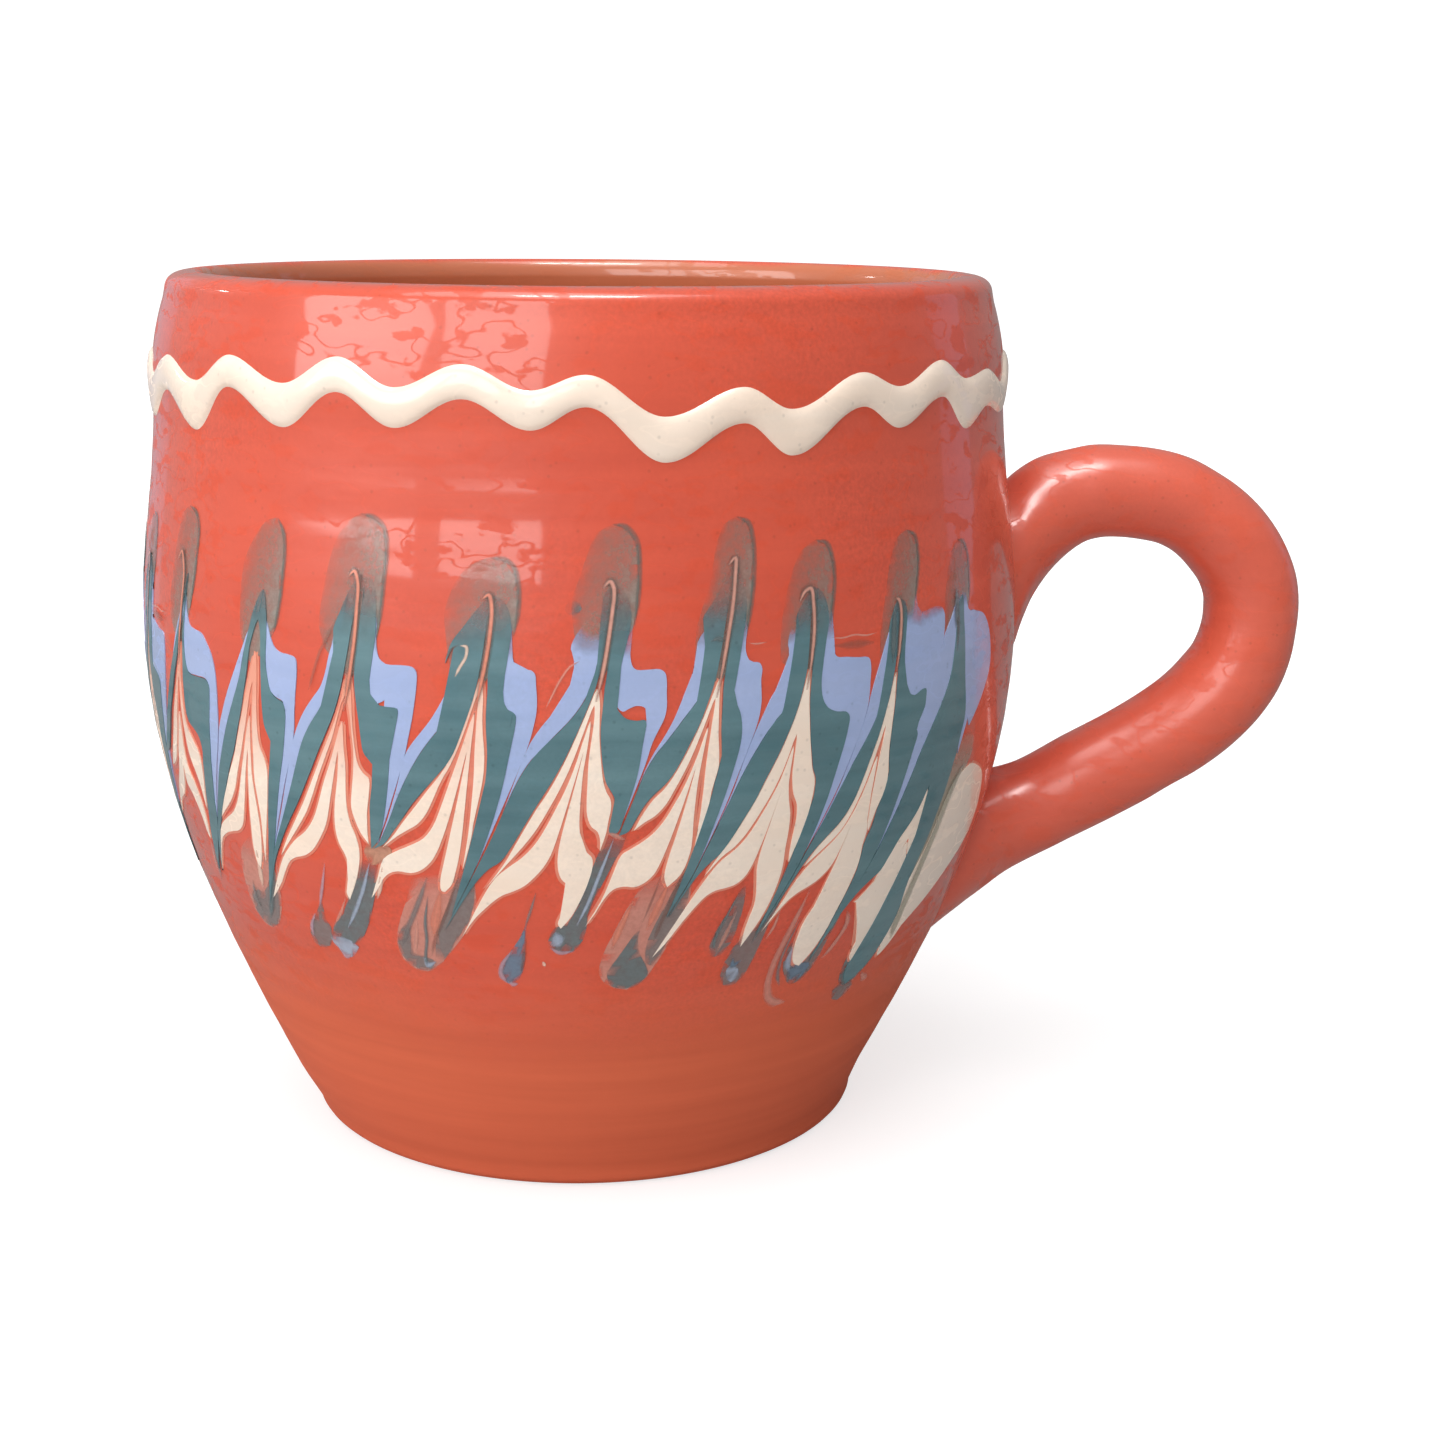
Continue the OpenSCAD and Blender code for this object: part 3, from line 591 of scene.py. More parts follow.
spires["C"] = {
    "blue": ([
        (-29.3, 38.3), (-28.4, 42.6), (-27.9, 46.5), (-27.5, 50.4), (-27, 52.4), (-26.4, 53.8), (-25.7, 55),
        (-25.1, 56), (-24.75, 57.4), (-24.6, 59.2), (-24.4, 60.6), (-24.4, 62.2), (-23.5, 64.5), (-21.5, 65.5),
        (-20.2, 63.6), (-19.9, 61.6), (-19.6, 60.1), (-19.2, 59.3), (-18.5, 58.85), (-17, 58.85), (-15.8, 58.75),
        (-15.3, 58.3), (-15.1, 57.2), (-15, 55.5), (-14.95, 53.8), (-15, 52), (-15.05, 50.2), (-15.6, 45.5),
        (-16.3, 41)],
       [
        (-29.3, 38.3), (-28.3, 41.5), (-27.7, 43.8), (-27.2, 46), (-26.8, 48.5), (-26.3, 50.8), (-25.6, 52.5),
        (-24.9, 53.8), (-24.4, 55.2), (-24.2, 57), (-24.1, 59), (-24, 60.8), (-23.4, 63.5), (-21.5, 64.8),
        (-20.3, 62.6), (-19.95, 60.6), (-19.95, 58.4), (-19.8, 56.7), (-19.4, 55.6), (-18.8, 55.05), (-18.2, 55.3),
        (-17.6, 55.75), (-17, 55.75), (-16.5, 55.35), (-16.35, 54.4), (-16.5, 52.8), (-16.6, 51), (-16.4, 49),
        (-16.15, 46.5), (-16.05, 44), (-16.3, 41)]),
    "teal": ([
        (-30.2, 32), (-29.2, 38.4), (-28.25, 41.5), (-27.65, 43.8), (-27.15, 46), (-26.75, 48.5), (-26.25, 50.8),
        (-25.55, 52.5), (-24.85, 53.8), (-24.35, 55.2), (-24.15, 57), (-24.1, 59), (-24.35, 60.8), (-24.5, 61.8),
        (-24.1, 63.4), (-23.6, 65.2), (-22.6, 66.9), (-21, 66), (-20.3, 63.5), (-19.95, 61.4), (-19.93, 58.4),
        (-19.78, 56.7), (-19.38, 55.55), (-18.8, 55), (-17.6, 54.8), (-16.6, 54.75), (-16.4, 54), (-16.55, 52.8),
        (-16.62, 51), (-16.42, 49), (-16.17, 46.5), (-16.07, 44), (-16.2, 41.6), (-16.9, 40.4)],
       [
        (-30.2, 32), (-29.3, 36.4), (-28.5, 38.7), (-27.7, 40.7), (-26.8, 42.7), (-25.9, 44.8), (-25.1, 47.2),
        (-24.4, 49.5), (-23.7, 51.7), (-23.1, 53.8), (-22.8, 56), (-22.65, 58.5), (-22.6, 61), (-22.55, 64),
        (-22.5, 66.6), (-21.9, 64.5), (-21.75, 61.5), (-21.65, 58.8), (-21.4, 56.8), (-20.9, 55), (-20.3, 53.2),
        (-19.8, 51.5), (-19.3, 50.2), (-18.6, 49.5), (-18, 48.9), (-17.65, 47.8), (-17.8, 46.4), (-17.75, 44.8),
        (-17.4, 43), (-17.15, 41.6), (-16.9, 40.4)]),
    "high": ([
        (-28.2, 37.8), (-27.4, 39.9), (-26.6, 41.6), (-25.6, 43.9), (-24.9, 45.9), (-24.3, 48), (-23.7, 50.1),
        (-23.1, 52.2), (-22.6, 54.5), (-22.2, 57.5), (-21.5, 55.5), (-21.1, 53.6), (-20.7, 51.9), (-20.2, 50.2),
        (-19.7, 48.9), (-19, 48.1), (-18.3, 47.6), (-18.05, 46), (-17.95, 44), (-17.65, 42.3), (-17.3, 40.9)],
       [
        (-28.2, 37.8), (-26.9, 39.9), (-25.8, 41.7), (-25, 43.3), (-24.4, 45.3), (-23.95, 47.3), (-23.4, 49.4),
        (-22.9, 51.4), (-22.2, 55.5), (-21.4, 53.8), (-20.9, 52), (-20.4, 50.2), (-20.1, 48), (-19.95, 46),
        (-19.75, 44.4), (-19.1, 43.1), (-18.3, 41.9), (-17.3, 40.9)]),
    "low": ([
        (-29.8, 32.4), (-28.9, 35), (-27.9, 37.6), (-26.4, 39.8), (-25, 41.1), (-24.1, 42.6), (-23.6, 44.6),
        (-23.2, 47), (-22.7, 49.4), (-22.1, 53), (-21.6, 50.8), (-21.1, 48.8), (-20.7, 46.5), (-20.3, 44.5),
        (-19.7, 42.9), (-18.9, 41.6), (-18.3, 40.2), (-18.05, 38.5), (-18.2, 36.5), (-18.7, 34.4)],
       [
        (-29.8, 32.4), (-29, 33.4), (-28.2, 34.7), (-27.6, 36.1), (-26.9, 37.4), (-26, 38), (-24.9, 38.4),
        (-23.9, 39.2), (-23.1, 40.6), (-22.5, 42.2), (-22.3, 44.5), (-22.1, 50), (-21.75, 47), (-21.65, 44),
        (-21.3, 42), (-20.7, 40.5), (-19.8, 39.3), (-19.15, 38), (-19, 36.5), (-19.2, 35.2), (-18.7, 34.4)]),
}
spires["D"] = {
    "blue": ([
        (-16.2, 41), (-15.7, 43.6), (-15.3, 46.8), (-15.05, 50.2), (-14.6, 51.4), (-13.9, 52.6), (-13.2, 53.8),
        (-12.6, 55.2), (-12.1, 56.6), (-11.65, 58), (-11.4, 59.2), (-11.15, 60), (-10.7, 60.4), (-10.3, 62),
        (-8.8, 64.6), (-7.4, 64.4), (-6.95, 62.4), (-6.6, 60.5), (-6.1, 59.3), (-5.4, 58.95), (-4.6, 58.9),
        (-4.15, 58.5), (-3.9, 57.5), (-3.6, 56.3), (-3.4, 55), (-3.4, 53.5), (-3.5, 52), (-3.8, 50), (-4.7, 45),
        (-5.7, 39.4)],
       [
        (-16.2, 41), (-15.55, 43.5), (-15.1, 45.8), (-14.6, 47.8), (-14, 49.6), (-13.3, 51.2), (-12.45, 52.7),
        (-11.6, 54), (-11, 55.2), (-10.65, 56.6), (-10.5, 58.2), (-10.4, 59.8), (-10.1, 61.5), (-8.8, 64),
        (-7.3, 63.6), (-6.95, 61.5), (-6.95, 59.4), (-6.9, 57.4), (-6.6, 56), (-6.1, 55.3), (-5.6, 55.1),
        (-5.2, 54.9), (-5.05, 54), (-5.05, 51), (-5, 48), (-5.1, 45), (-5.35, 42), (-5.7, 39.4)]),
    "teal": ([
        (-16.7, 40.4), (-16.1, 41.3), (-15.5, 43.5), (-15.05, 45.8), (-14.55, 47.8), (-13.95, 49.6), (-13.25, 51.2),
        (-12.4, 52.7), (-11.55, 54), (-10.95, 55.2), (-10.6, 56.6), (-10.45, 58.2), (-10.35, 59.9), (-10.75, 61),
        (-11.3, 61.3), (-11.9, 61.15), (-12.35, 60.4), (-12.65, 59.3), (-12.5, 60.9), (-12, 62), (-11.3, 62.9),
        (-10.8, 63.7), (-10.2, 64.9), (-9.2, 65.6), (-7.9, 64.8), (-7.1, 63), (-6.93, 61), (-6.93, 59.4),
        (-6.88, 57.4), (-6.58, 56), (-6.1, 55.25), (-5.6, 55), (-5.25, 54.7), (-5.1, 54), (-5.08, 51), (-5.03, 48),
        (-5.13, 45), (-5.38, 42), (-5.75, 39.2), (-6.9, 34)],
       [
        (-16.7, 40.4), (-15.6, 41.1), (-14.9, 42.4), (-14.2, 43.8), (-13.4, 45.5), (-12.5, 47), (-11.7, 48.4),
        (-10.9, 49.5), (-10.35, 50.8), (-10, 52.6), (-9.7, 54.4), (-9.45, 56.2), (-9.3, 58.5), (-9.3, 61),
        (-9.3, 63.5), (-9.15, 65.3), (-8.75, 63.5), (-8.65, 61), (-8.5, 58.6), (-8.25, 56.8), (-8, 54.8),
        (-7.6, 52.8), (-7.2, 51.2), (-6.9, 49.5), (-6.72, 47.5), (-6.75, 45.5), (-6.6, 43.5), (-6.45, 41),
        (-6.6, 38.2), (-6.9, 34)]),
    "high": ([
        (-15.7, 40.7), (-14.7, 42.2), (-14, 43.6), (-13, 45.4), (-12.1, 47.1), (-11.3, 48.5), (-10.7, 49.9),
        (-10.15, 52), (-9.85, 54), (-9.5, 56), (-9.1, 58), (-8.6, 56.5), (-8.3, 54.6), (-7.95, 52.9), (-7.5, 51.3),
        (-7.15, 49.5), (-7, 47.5), (-7.05, 45), (-6.85, 42.4), (-6.95, 39)],
       [
        (-15.7, 40.7), (-14.4, 42), (-13.4, 42.8), (-12.5, 43.5), (-11.8, 44.7), (-11.35, 46.5), (-11, 48),
        (-10.4, 49.7), (-9.95, 51.6), (-9.6, 53.6), (-9.1, 56.5), (-8.75, 54), (-8.4, 51.3), (-7.95, 48.6),
        (-7.55, 45.6), (-7.25, 43), (-7.1, 41), (-6.95, 39)]),
    "low": ([
        (-16.1, 35), (-15.7, 37.6), (-15.4, 39.5), (-14.3, 40.4), (-12.9, 41.2), (-11.6, 42.1), (-10.9, 43.4),
        (-10.5, 45.4), (-10.2, 47.6), (-9.85, 50), (-9.1, 54.8), (-8.8, 51.6), (-8.5, 48.6), (-8.15, 45.6),
        (-7.85, 43), (-7.65, 41), (-7.6, 38.8), (-7.7, 37.4), (-8.2, 36.6)],
       [
        (-16.1, 35), (-15.5, 36.2), (-15.1, 37.3), (-14.5, 38), (-13.6, 38.35), (-12.2, 38.3), (-11.2, 38.7),
        (-10.4, 39.6), (-9.95, 40.8), (-9.65, 42.5), (-9.4, 45), (-9.1, 51), (-9, 47), (-9, 43), (-9, 40),
        (-8.95, 37.8), (-8.6, 36.7), (-8.2, 36.6)]),
}
spires["E"] = {
    "blue": ([
        (-5.6, 39.4), (-4.7, 43.6), (-4.2, 47), (-3.8, 50), (-3.4, 52), (-2.7, 53.6), (-1.8, 55.1), (-1.15, 56.6),
        (-0.55, 58.2), (-0.25, 59.7), (-0.8, 60.3), (-1.3, 60.9), (-1, 62.2), (-0.2, 63.5), (0.6, 64.7), (2, 65.6),
        (3.6, 65), (4.05, 63.4), (4.1, 61.6), (4.3, 60), (4.65, 59.2), (5.1, 58.9), (6.2, 58.9), (7.2, 58.9),
        (7.75, 58.55), (8.05, 57.7), (8.25, 56.6), (8.5, 55.4), (8.5, 54.3), (8.2, 53.2), (7.9, 52), (7.75, 50),
        (7.4, 47), (7, 43.2)],
       [
        (-5.6, 39.4), (-5.15, 41.5), (-4.75, 43.5), (-4.3, 46), (-3.8, 48.3), (-3.2, 50), (-2.4, 51.4), (-1.4, 52.7),
        (-0.5, 53.9), (0.2, 55), (0.75, 56.2), (1.1, 57.6), (1.3, 59.5), (1.35, 61.5), (1.35, 63.2), (2, 65.2),
        (3.4, 64.2), (3.75, 62.4), (3.55, 60), (3.5, 58), (3.6, 56.4), (3.9, 55.5), (4.5, 55.05), (5, 55.3),
        (5.6, 55.55), (6.3, 55.45), (6.65, 55.1), (6.85, 54.2), (6.95, 52.4), (7.15, 50.3), (7.25, 48.5), (7.2, 46.5),
        (7.1, 44.8), (7, 43.2)]),
    "teal": ([
        (-7.2, 32.5), (-5.6, 39.3), (-5.1, 41.5), (-4.7, 43.5), (-4.25, 46), (-3.75, 48.3), (-3.15, 50),
        (-2.35, 51.4), (-1.35, 52.7), (-0.45, 53.9), (0.25, 55), (0.8, 56.2), (1.12, 57.6), (1.32, 59.5),
        (1.35, 61.5), (1.3, 63.4), (0.9, 64.8), (1, 66), (1.7, 66.6), (2.9, 65.9), (3.75, 64), (3.8, 62.2),
        (3.58, 60), (3.53, 58), (3.62, 56.3), (3.92, 55.35), (4.4, 54.8), (5, 54.35), (6, 54.15), (6.8, 54.15),
        (6.97, 52.4), (7.17, 50.3), (7.27, 48.5), (7.2, 46.5), (7.12, 44.8), (7.05, 43.4), (6.6, 42.9)],
       [
        (-7.2, 32.5), (-5.4, 37.6), (-4.4, 39.3), (-3.4, 40.2), (-2.8, 41.6), (-2.2, 43.5), (-1.6, 45.4), (-1, 47.1),
        (-0.5, 48.5), (0, 50.1), (0.5, 52.1), (0.9, 54), (1.3, 55.9), (1.6, 57.6), (1.75, 60), (1.75, 63),
        (1.7, 66.2), (2.3, 64), (2.4, 61.5), (2.4, 59), (2.4, 57.2), (2.6, 55.4), (2.75, 53.7), (3.1, 52.1),
        (3.55, 50.6), (4.1, 49.1), (4.6, 48.1), (5.2, 47.4), (5.65, 46.8), (5.9, 45.8), (6, 44.5), (6.1, 43.4),
        (6.6, 42.9)]),
    "high": ([
        (-4.2, 37.2), (-3, 40), (-2.45, 41.9), (-1.9, 43.8), (-1.3, 45.7), (-0.7, 47.2), (-0.2, 48.8), (0.3, 50.8),
        (0.75, 52.9), (1.2, 55), (1.75, 57.2), (2.2, 56), (2.5, 54.4), (2.8, 52.9), (3.2, 51.4), (3.7, 49.8),
        (4.2, 48.4), (4.8, 47.3), (5.35, 46.6), (5.65, 45.7), (5.75, 44.5), (5.9, 43.2), (5.85, 41.4)],
       [
        (-4.2, 37.2), (-2.9, 39.6), (-2.1, 41), (-1.35, 42.4), (-0.75, 43.8), (-0.2, 45.6), (0.3, 47.4), (0.75, 49.4),
        (1.05, 51.3), (1.3, 53.1), (1.75, 55.7), (2.05, 54), (2.2, 52), (2.4, 50.2), (2.75, 48.4), (3.15, 46.5),
        (3.6, 45), (4.3, 43.9), (5, 43.4), (5.5, 42.6), (5.85, 41.4)]),
    "low": ([
        (-5.2, 31.8), (-4.3, 36), (-3.5, 38.4), (-2.5, 39.6), (-1.5, 40.6), (-0.65, 41.9), (-0.1, 43.4), (0.4, 45.4),
        (0.85, 47.4), (1.2, 49.6), (1.4, 52), (1.7, 54.2), (1.95, 52), (2.1, 49.5), (2.45, 47.2), (2.8, 45.4),
        (3.2, 43.8), (3.8, 42.4), (4.6, 41.3), (5.3, 40.7), (5.65, 39.8), (5.75, 38), (5.6, 36), (5.3, 34.4),
        (4.7, 33.1)],
       [
        (-5.2, 31.8), (-4.8, 33), (-4.3, 34.1), (-3.7, 35), (-3.1, 35.8), (-2.3, 36.6), (-1.3, 37.1), (-0.4, 37.7),
        (0.3, 38.6), (0.9, 39.7), (1.25, 41), (1.4, 43.5), (1.5, 47), (1.7, 51.5), (1.68, 48), (1.68, 44.5),
        (1.85, 41.5), (2.3, 39.7), (3, 38.5), (3.8, 37.9), (4.4, 37.4), (4.65, 36.5), (4.5, 35.5), (4.25, 34.6),
        (4.2, 33.7), (4.7, 33.1)]),
}
spires["F"] = {
    "blue": ([
        (7.1, 43.2), (7.5, 46), (7.85, 49.2), (8.3, 51), (8.9, 52.5), (9.4, 54), (9.75, 55.5), (10.05, 57),
        (10.4, 58.6), (10.5, 60), (10.4, 61.2), (10.9, 62.2), (11.6, 62.6), (12.6, 63.6), (13.5, 64.4), (14.6, 63.8),
        (15.1, 62.2), (15.1, 60.9), (15.4, 59.8), (15.95, 59.15), (16.8, 59), (17.2, 58.4), (17.25, 57.5),
        (17.5, 56.4), (17.75, 55.2), (17.8, 53.4), (17.5, 51), (17.2, 48.6), (16.7, 44), (16.15, 39)],
       [
        (7.1, 43.2), (7.35, 45), (7.6, 47.2), (7.95, 49.4), (8.5, 50.9), (9.2, 52.1), (9.8, 53.2), (10.4, 54.3),
        (11, 55.3), (11.6, 56.4), (12, 57.6), (12.2, 59.2), (12.2, 60.6), (12.5, 62.4), (13.5, 63.8), (14.5, 62.6),
        (14.65, 60.2), (14.55, 58.2), (14.7, 56.6), (15.1, 55.5), (15.75, 54.4), (16.25, 53), (16.5, 51.4),
        (16.5, 49), (16.42, 46.5), (16.32, 44), (16.22, 41.5), (16.15, 39)]),
    "teal": ([
        (7.2, 42.9), (7.4, 45), (7.65, 47.2), (8, 49.4), (8.55, 50.9), (9.25, 52.1), (9.85, 53.2), (10.45, 54.3),
        (11.05, 55.3), (11.65, 56.4), (12.02, 57.6), (12.2, 59.2), (12.15, 60.8), (11.9, 62.3), (11.1, 62.7),
        (10.6, 63.4), (11.2, 64.6), (12, 66.3), (13, 68.2), (14.1, 66.5), (14.7, 64.4), (14.8, 62.4), (14.68, 60.2),
        (14.58, 58.2), (14.73, 56.6), (15.13, 55.5), (15.78, 54.4), (16.28, 53), (16.53, 51.4), (16.53, 49),
        (16.45, 46.5), (16.35, 44), (16.25, 41.5), (16.1, 38.6), (15.2, 34)],
       [
        (7.2, 42.9), (8, 43.3), (8.4, 44.7), (8.85, 46.1), (9.5, 47.1), (10.1, 47.8), (10.6, 48.7), (11.1, 50.2),
        (11.55, 51.9), (12, 53.6), (12.3, 55.3), (12.6, 57.2), (12.75, 59.5), (12.8, 62), (12.8, 65), (13, 67.8),
        (13.35, 65.5), (13.5, 62), (13.55, 59), (13.6, 57.1), (13.9, 55.1), (14.2, 53.2), (14.65, 51.5),
        (15.05, 49.8), (15, 47.8), (15.2, 45.6), (15.35, 43), (15.45, 40.5), (15.45, 37.6), (15.2, 34)]),
    "high": ([
        (8.5, 43.4), (8.9, 45.1), (9.5, 46.5), (10.2, 47.4), (10.75, 48.6), (11.25, 50.2), (11.75, 52.1), (12.2, 54),
        (12.6, 55.8), (13.1, 57.8), (13.4, 55.9), (13.75, 54), (14.1, 52.4), (14.6, 50.7), (14.95, 49.2),
        (14.9, 47.4), (15.1, 45.6), (15.2, 43.8), (15.2, 41)],
       [
        (8.5, 43.4), (9.3, 44.2), (10.1, 44.8), (10.8, 45.9), (11.25, 47.4), (11.7, 49.1), (12.1, 51.1),
        (12.45, 53.2), (13, 56), (13.2, 53.6), (13.4, 51.4), (13.7, 49.2), (14.05, 47.4), (14.4, 45.5), (14.8, 43.4),
        (15.2, 41)]),
    "low": ([
        (7.1, 33.3), (7.7, 36), (7.9, 38.8), (8.1, 40.9), (8.8, 41.5), (9.6, 42.1), (10.4, 42.9), (11.1, 44.1),
        (11.6, 45.7), (12.1, 47.6), (12.45, 49.8), (12.9, 53.2), (13.05, 50.6), (13.25, 48.4), (13.6, 46.2),
        (14.05, 44.2), (14.5, 42.6), (14.9, 40.8), (14.8, 38.6), (13.9, 37.3)],
       [
        (7.1, 33.3), (7.6, 34.8), (7.95, 36.3), (8.5, 37.3), (9.4, 37.6), (10.6, 37.5), (11.4, 37.9), (12, 38.7),
        (12.25, 40), (12.4, 42.5), (12.5, 45.5), (12.7, 49.5), (12.85, 46), (12.85, 43), (12.9, 40.4), (13.2, 38.4),
        (13.9, 37.3)]),
}
spires["G"] = {
    "blue": ([
        (16.2, 39), (16.7, 43), (17.2, 47), (17.4, 50), (17.8, 52.4), (18.3, 54.3), (18.8, 55.8), (19.5, 57),
        (19.95, 58.3), (20.05, 59.4), (19.6, 60.4), (19.7, 61.8), (20.4, 63.1), (22, 64.6), (23.7, 64), (24.25, 62.4),
        (24.35, 61), (24.65, 59.8), (25.2, 58.85), (26.5, 58.65), (28, 58.45), (29.2, 58.3), (29.65, 57.5),
        (29.9, 56), (30.1, 54.5), (30.1, 52.4), (29.3, 47), (28.4, 42), (27.8, 38.5)],
       [
        (16.2, 39), (16.55, 42), (17, 45), (17.5, 47.8), (18.1, 50), (18.8, 51.8), (19.5, 53.2), (20.3, 54.3),
        (20.75, 55.7), (20.9, 57.5), (20.85, 59.5), (20.65, 61.2), (20.9, 62.6), (22, 64.2), (23.5, 63), (23.7, 60.5),
        (23.7, 58), (23.9, 56.3), (24.4, 54.9), (25.2, 54), (26.4, 53.5), (27.5, 53.35), (28.05, 52.8), (28.2, 51.5),
        (28.2, 49.5), (28.1, 47), (28.15, 45), (28.1, 43), (28, 41), (27.8, 38.5)]),
    "teal": ([
        (15.4, 34), (16.25, 39), (16.6, 42), (17.05, 45), (17.55, 47.8), (18.15, 50), (18.85, 51.8), (19.55, 53.2),
        (20.35, 54.3), (20.8, 55.7), (20.92, 57.5), (20.87, 59.5), (20.5, 61.4), (20.1, 62.8), (20.7, 64.2),
        (21.7, 65.6), (23, 64.6), (23.75, 62.6), (23.72, 60.5), (23.72, 58), (23.93, 56.3), (24.43, 54.9),
        (25.22, 54), (26.4, 53.5), (27.5, 53.35), (28.07, 52.8), (28.22, 51.5), (28.22, 49.5), (28.12, 47),
        (28.17, 45), (28.12, 43), (28.02, 41), (27.8, 38.3), (26.6, 31)],
       [
        (15.4, 34), (16.5, 38), (17.3, 39.4), (18.1, 40.4), (18.7, 41.9), (19.2, 43.6), (19.8, 45.6), (20.2, 47.4),
        (20.7, 49.3), (21.2, 51.4), (21.6, 53.4), (21.9, 55.6), (22, 57.6), (21.9, 60), (21.7, 62.5), (21.7, 65.3),
        (22.3, 63.5), (22.5, 61), (22.6, 58.4), (22.8, 56.2), (23.1, 54.4), (23.6, 52.6), (24.1, 51), (24.7, 49.5),
        (25.3, 48.1), (25.95, 47.1), (26.35, 45.6), (26.55, 44), (26.7, 42), (26.65, 40), (26.65, 37), (26.6, 34),
        (26.6, 31)]),
    "high": ([
        (17.4, 38.2), (18, 40), (18.65, 41.6), (19.2, 43.3), (19.8, 45.3), (20.25, 47.1), (20.75, 49), (21.25, 51.1),
        (21.65, 53.2), (22, 55.5), (22.3, 58), (22.65, 56.2), (22.95, 54.6), (23.45, 52.8), (24, 51.1), (24.6, 49.5),
        (25.2, 48.1), (25.85, 47), (26.2, 45.5), (26.45, 43.6), (26.5, 41.6), (26.4, 38.6)],
       [
        (17.4, 38.2), (18.4, 40), (19.4, 41), (20.1, 42.2), (20.75, 44), (21.35, 46), (21.85, 48.2), (22.3, 51.8),
        (22.75, 49.4), (23.2, 47.4), (23.9, 45.8), (24.75, 44.6), (25.3, 43), (25.6, 41.4), (26, 39.8),
        (26.4, 38.6)]),
    "low": ([
        (15.7, 29.6), (16.4, 33), (17, 35.6), (17.8, 38.2), (18.6, 39.7), (19.6, 40.7), (20.3, 41.8), (20.95, 43.6),
        (21.5, 45.6), (21.95, 47.6), (22.3, 50.6), (22.65, 48.6), (23, 46.8), (23.6, 45.2), (24.3, 43.8),
        (24.8, 42.2), (25.3, 40.2), (25.9, 38.2), (26.3, 35.6), (26.2, 32.6), (25.5, 29.8)],
       [
        (15.7, 29.6), (16.4, 31), (17.2, 33.4), (17.9, 35), (18.5, 36), (19.3, 36.5), (20.4, 36.7), (21.3, 37),
        (21.9, 37.7), (22.2, 38.9), (22.3, 41.5), (22.35, 46.5), (22.45, 41.8), (22.8, 38.8), (23.5, 37.1),
        (24.2, 35.6), (24.6, 34.4), (24.75, 33), (25, 31.5), (25.5, 29.8)]),
}
